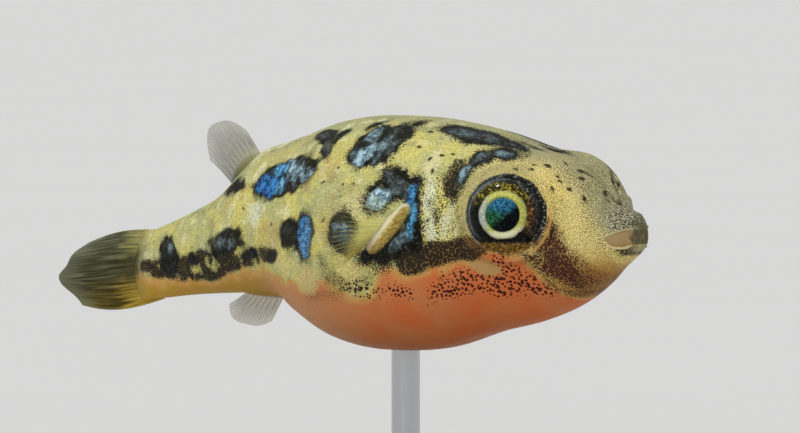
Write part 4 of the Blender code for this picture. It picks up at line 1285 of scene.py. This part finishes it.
def make_world():
    """A soft, even light from all round, in front of a backdrop as bright as the floor."""
    world = bpy.data.worlds.new("studio")
    world.use_nodes = True
    nodes, links = world.node_tree.nodes, world.node_tree.links
    light, backdrop = nodes["Background"], nodes.new("ShaderNodeBackground")
    for node, (colour, strength) in ((light, AMBIENT), (backdrop, BACKDROP)):
        node.inputs["Color"].default_value = (*colour, 1)
        node.inputs["Strength"].default_value = strength
    seen = nodes.new("ShaderNodeLightPath").outputs["Is Camera Ray"]
    mixed = nodes.new("ShaderNodeMixShader")
    for source, socket in zip((seen, light.outputs[0], backdrop.outputs[0]), mixed.inputs):
        links.new(source, socket)
    links.new(mixed.outputs[0], nodes["World Output"].inputs["Surface"])
    bpy.context.scene.world = world


def make_fins():
    """The five fins. A material's colours run from the lower or front edge to the upper or last one."""
    olive, thin = (0.064, 0.059, 0.018), (0.36, 0.36, 0.25)
    brown, grey = ((0.105, 0.072, 0.002), (0.1, 0.07, 0.003)), ((0.105, 0.11, 0.052), (0.09, 0.095, 0.045))
    webs = (*brown, (0.05, 0.044, 0.009), olive, *grey)
    tail = fin_material("caudal_web", TAIL_ROOTS, webs, (0.22, 0.23, 0.15), (0.99, 1, 0.94, 1), low=0.45)
    make_fin("caudal_fin", caudal_surface, CAUDAL_RAYS, tail)
    covers = (0.4, 0.56, 0.7, 0.85)
    webs = ((0.22, 0.21, 0.09), (0.18, 0.18, 0.09))
    dorsal = fin_material("dorsal_web", ((0.4, 0.38, 0.13), olive), webs, thin, covers)
    surface = median_surface("top", DORSAL_ENDS, DORSAL_LENGTH, DORSAL_LEANS, DORSAL_ARCH, 1)
    make_fin("dorsal_fin", surface, DORSAL_RAYS, dorsal)
    anal = fin_material("anal_web", (GOLD, GOLD), ((0.34, 0.24, 0.05), (0.24, 0.18, 0.05)), thin, covers)
    surface = median_surface("bottom", ANAL_ENDS, ANAL_LENGTH, ANAL_LEANS, ANAL_ARCH, -1)
    make_fin("anal_fin", surface, ANAL_RAYS, anal)
    lemon, clear, tip = (0.8, 0.77, 0.26), (0.36, 0.34, 0.16), (0.46, 0.45, 0.32)
    covers = (0.04, 0.2, 0.75, 0.62)
    pectoral = fin_material("pectoral_web", (lemon, lemon, GOLD), (clear, clear), tip, covers, 0.22)
    for side_name, side in (("left", 1), ("right", -1)):
        make_fin(f"pectoral_fin_{side_name}", pectoral_surface(side), PECTORAL_RAYS, pectoral)


def main():
    make_skin(skin_material())
    make_fins()
    iris, cornea = iris_material(), cornea_material()
    for side_name, side in (("left", 1), ("right", -1)):
        make_eye(side_name, side, iris, cornea)
    for node, material in (("stand_base", base_material()), ("stand_rod", rod_material())):
        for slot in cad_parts[node].material_slots:
            slot.material = material
    make_floor()
    make_world()
    make_camera()
    make_sun("key", -0.35, 0.8, 1.0, 50, 1.05)
    make_sun("top", -0.35, 1.0, 0.12, 8, 0.8)
    bpy.context.scene.view_settings.view_transform = "Standard"


main()
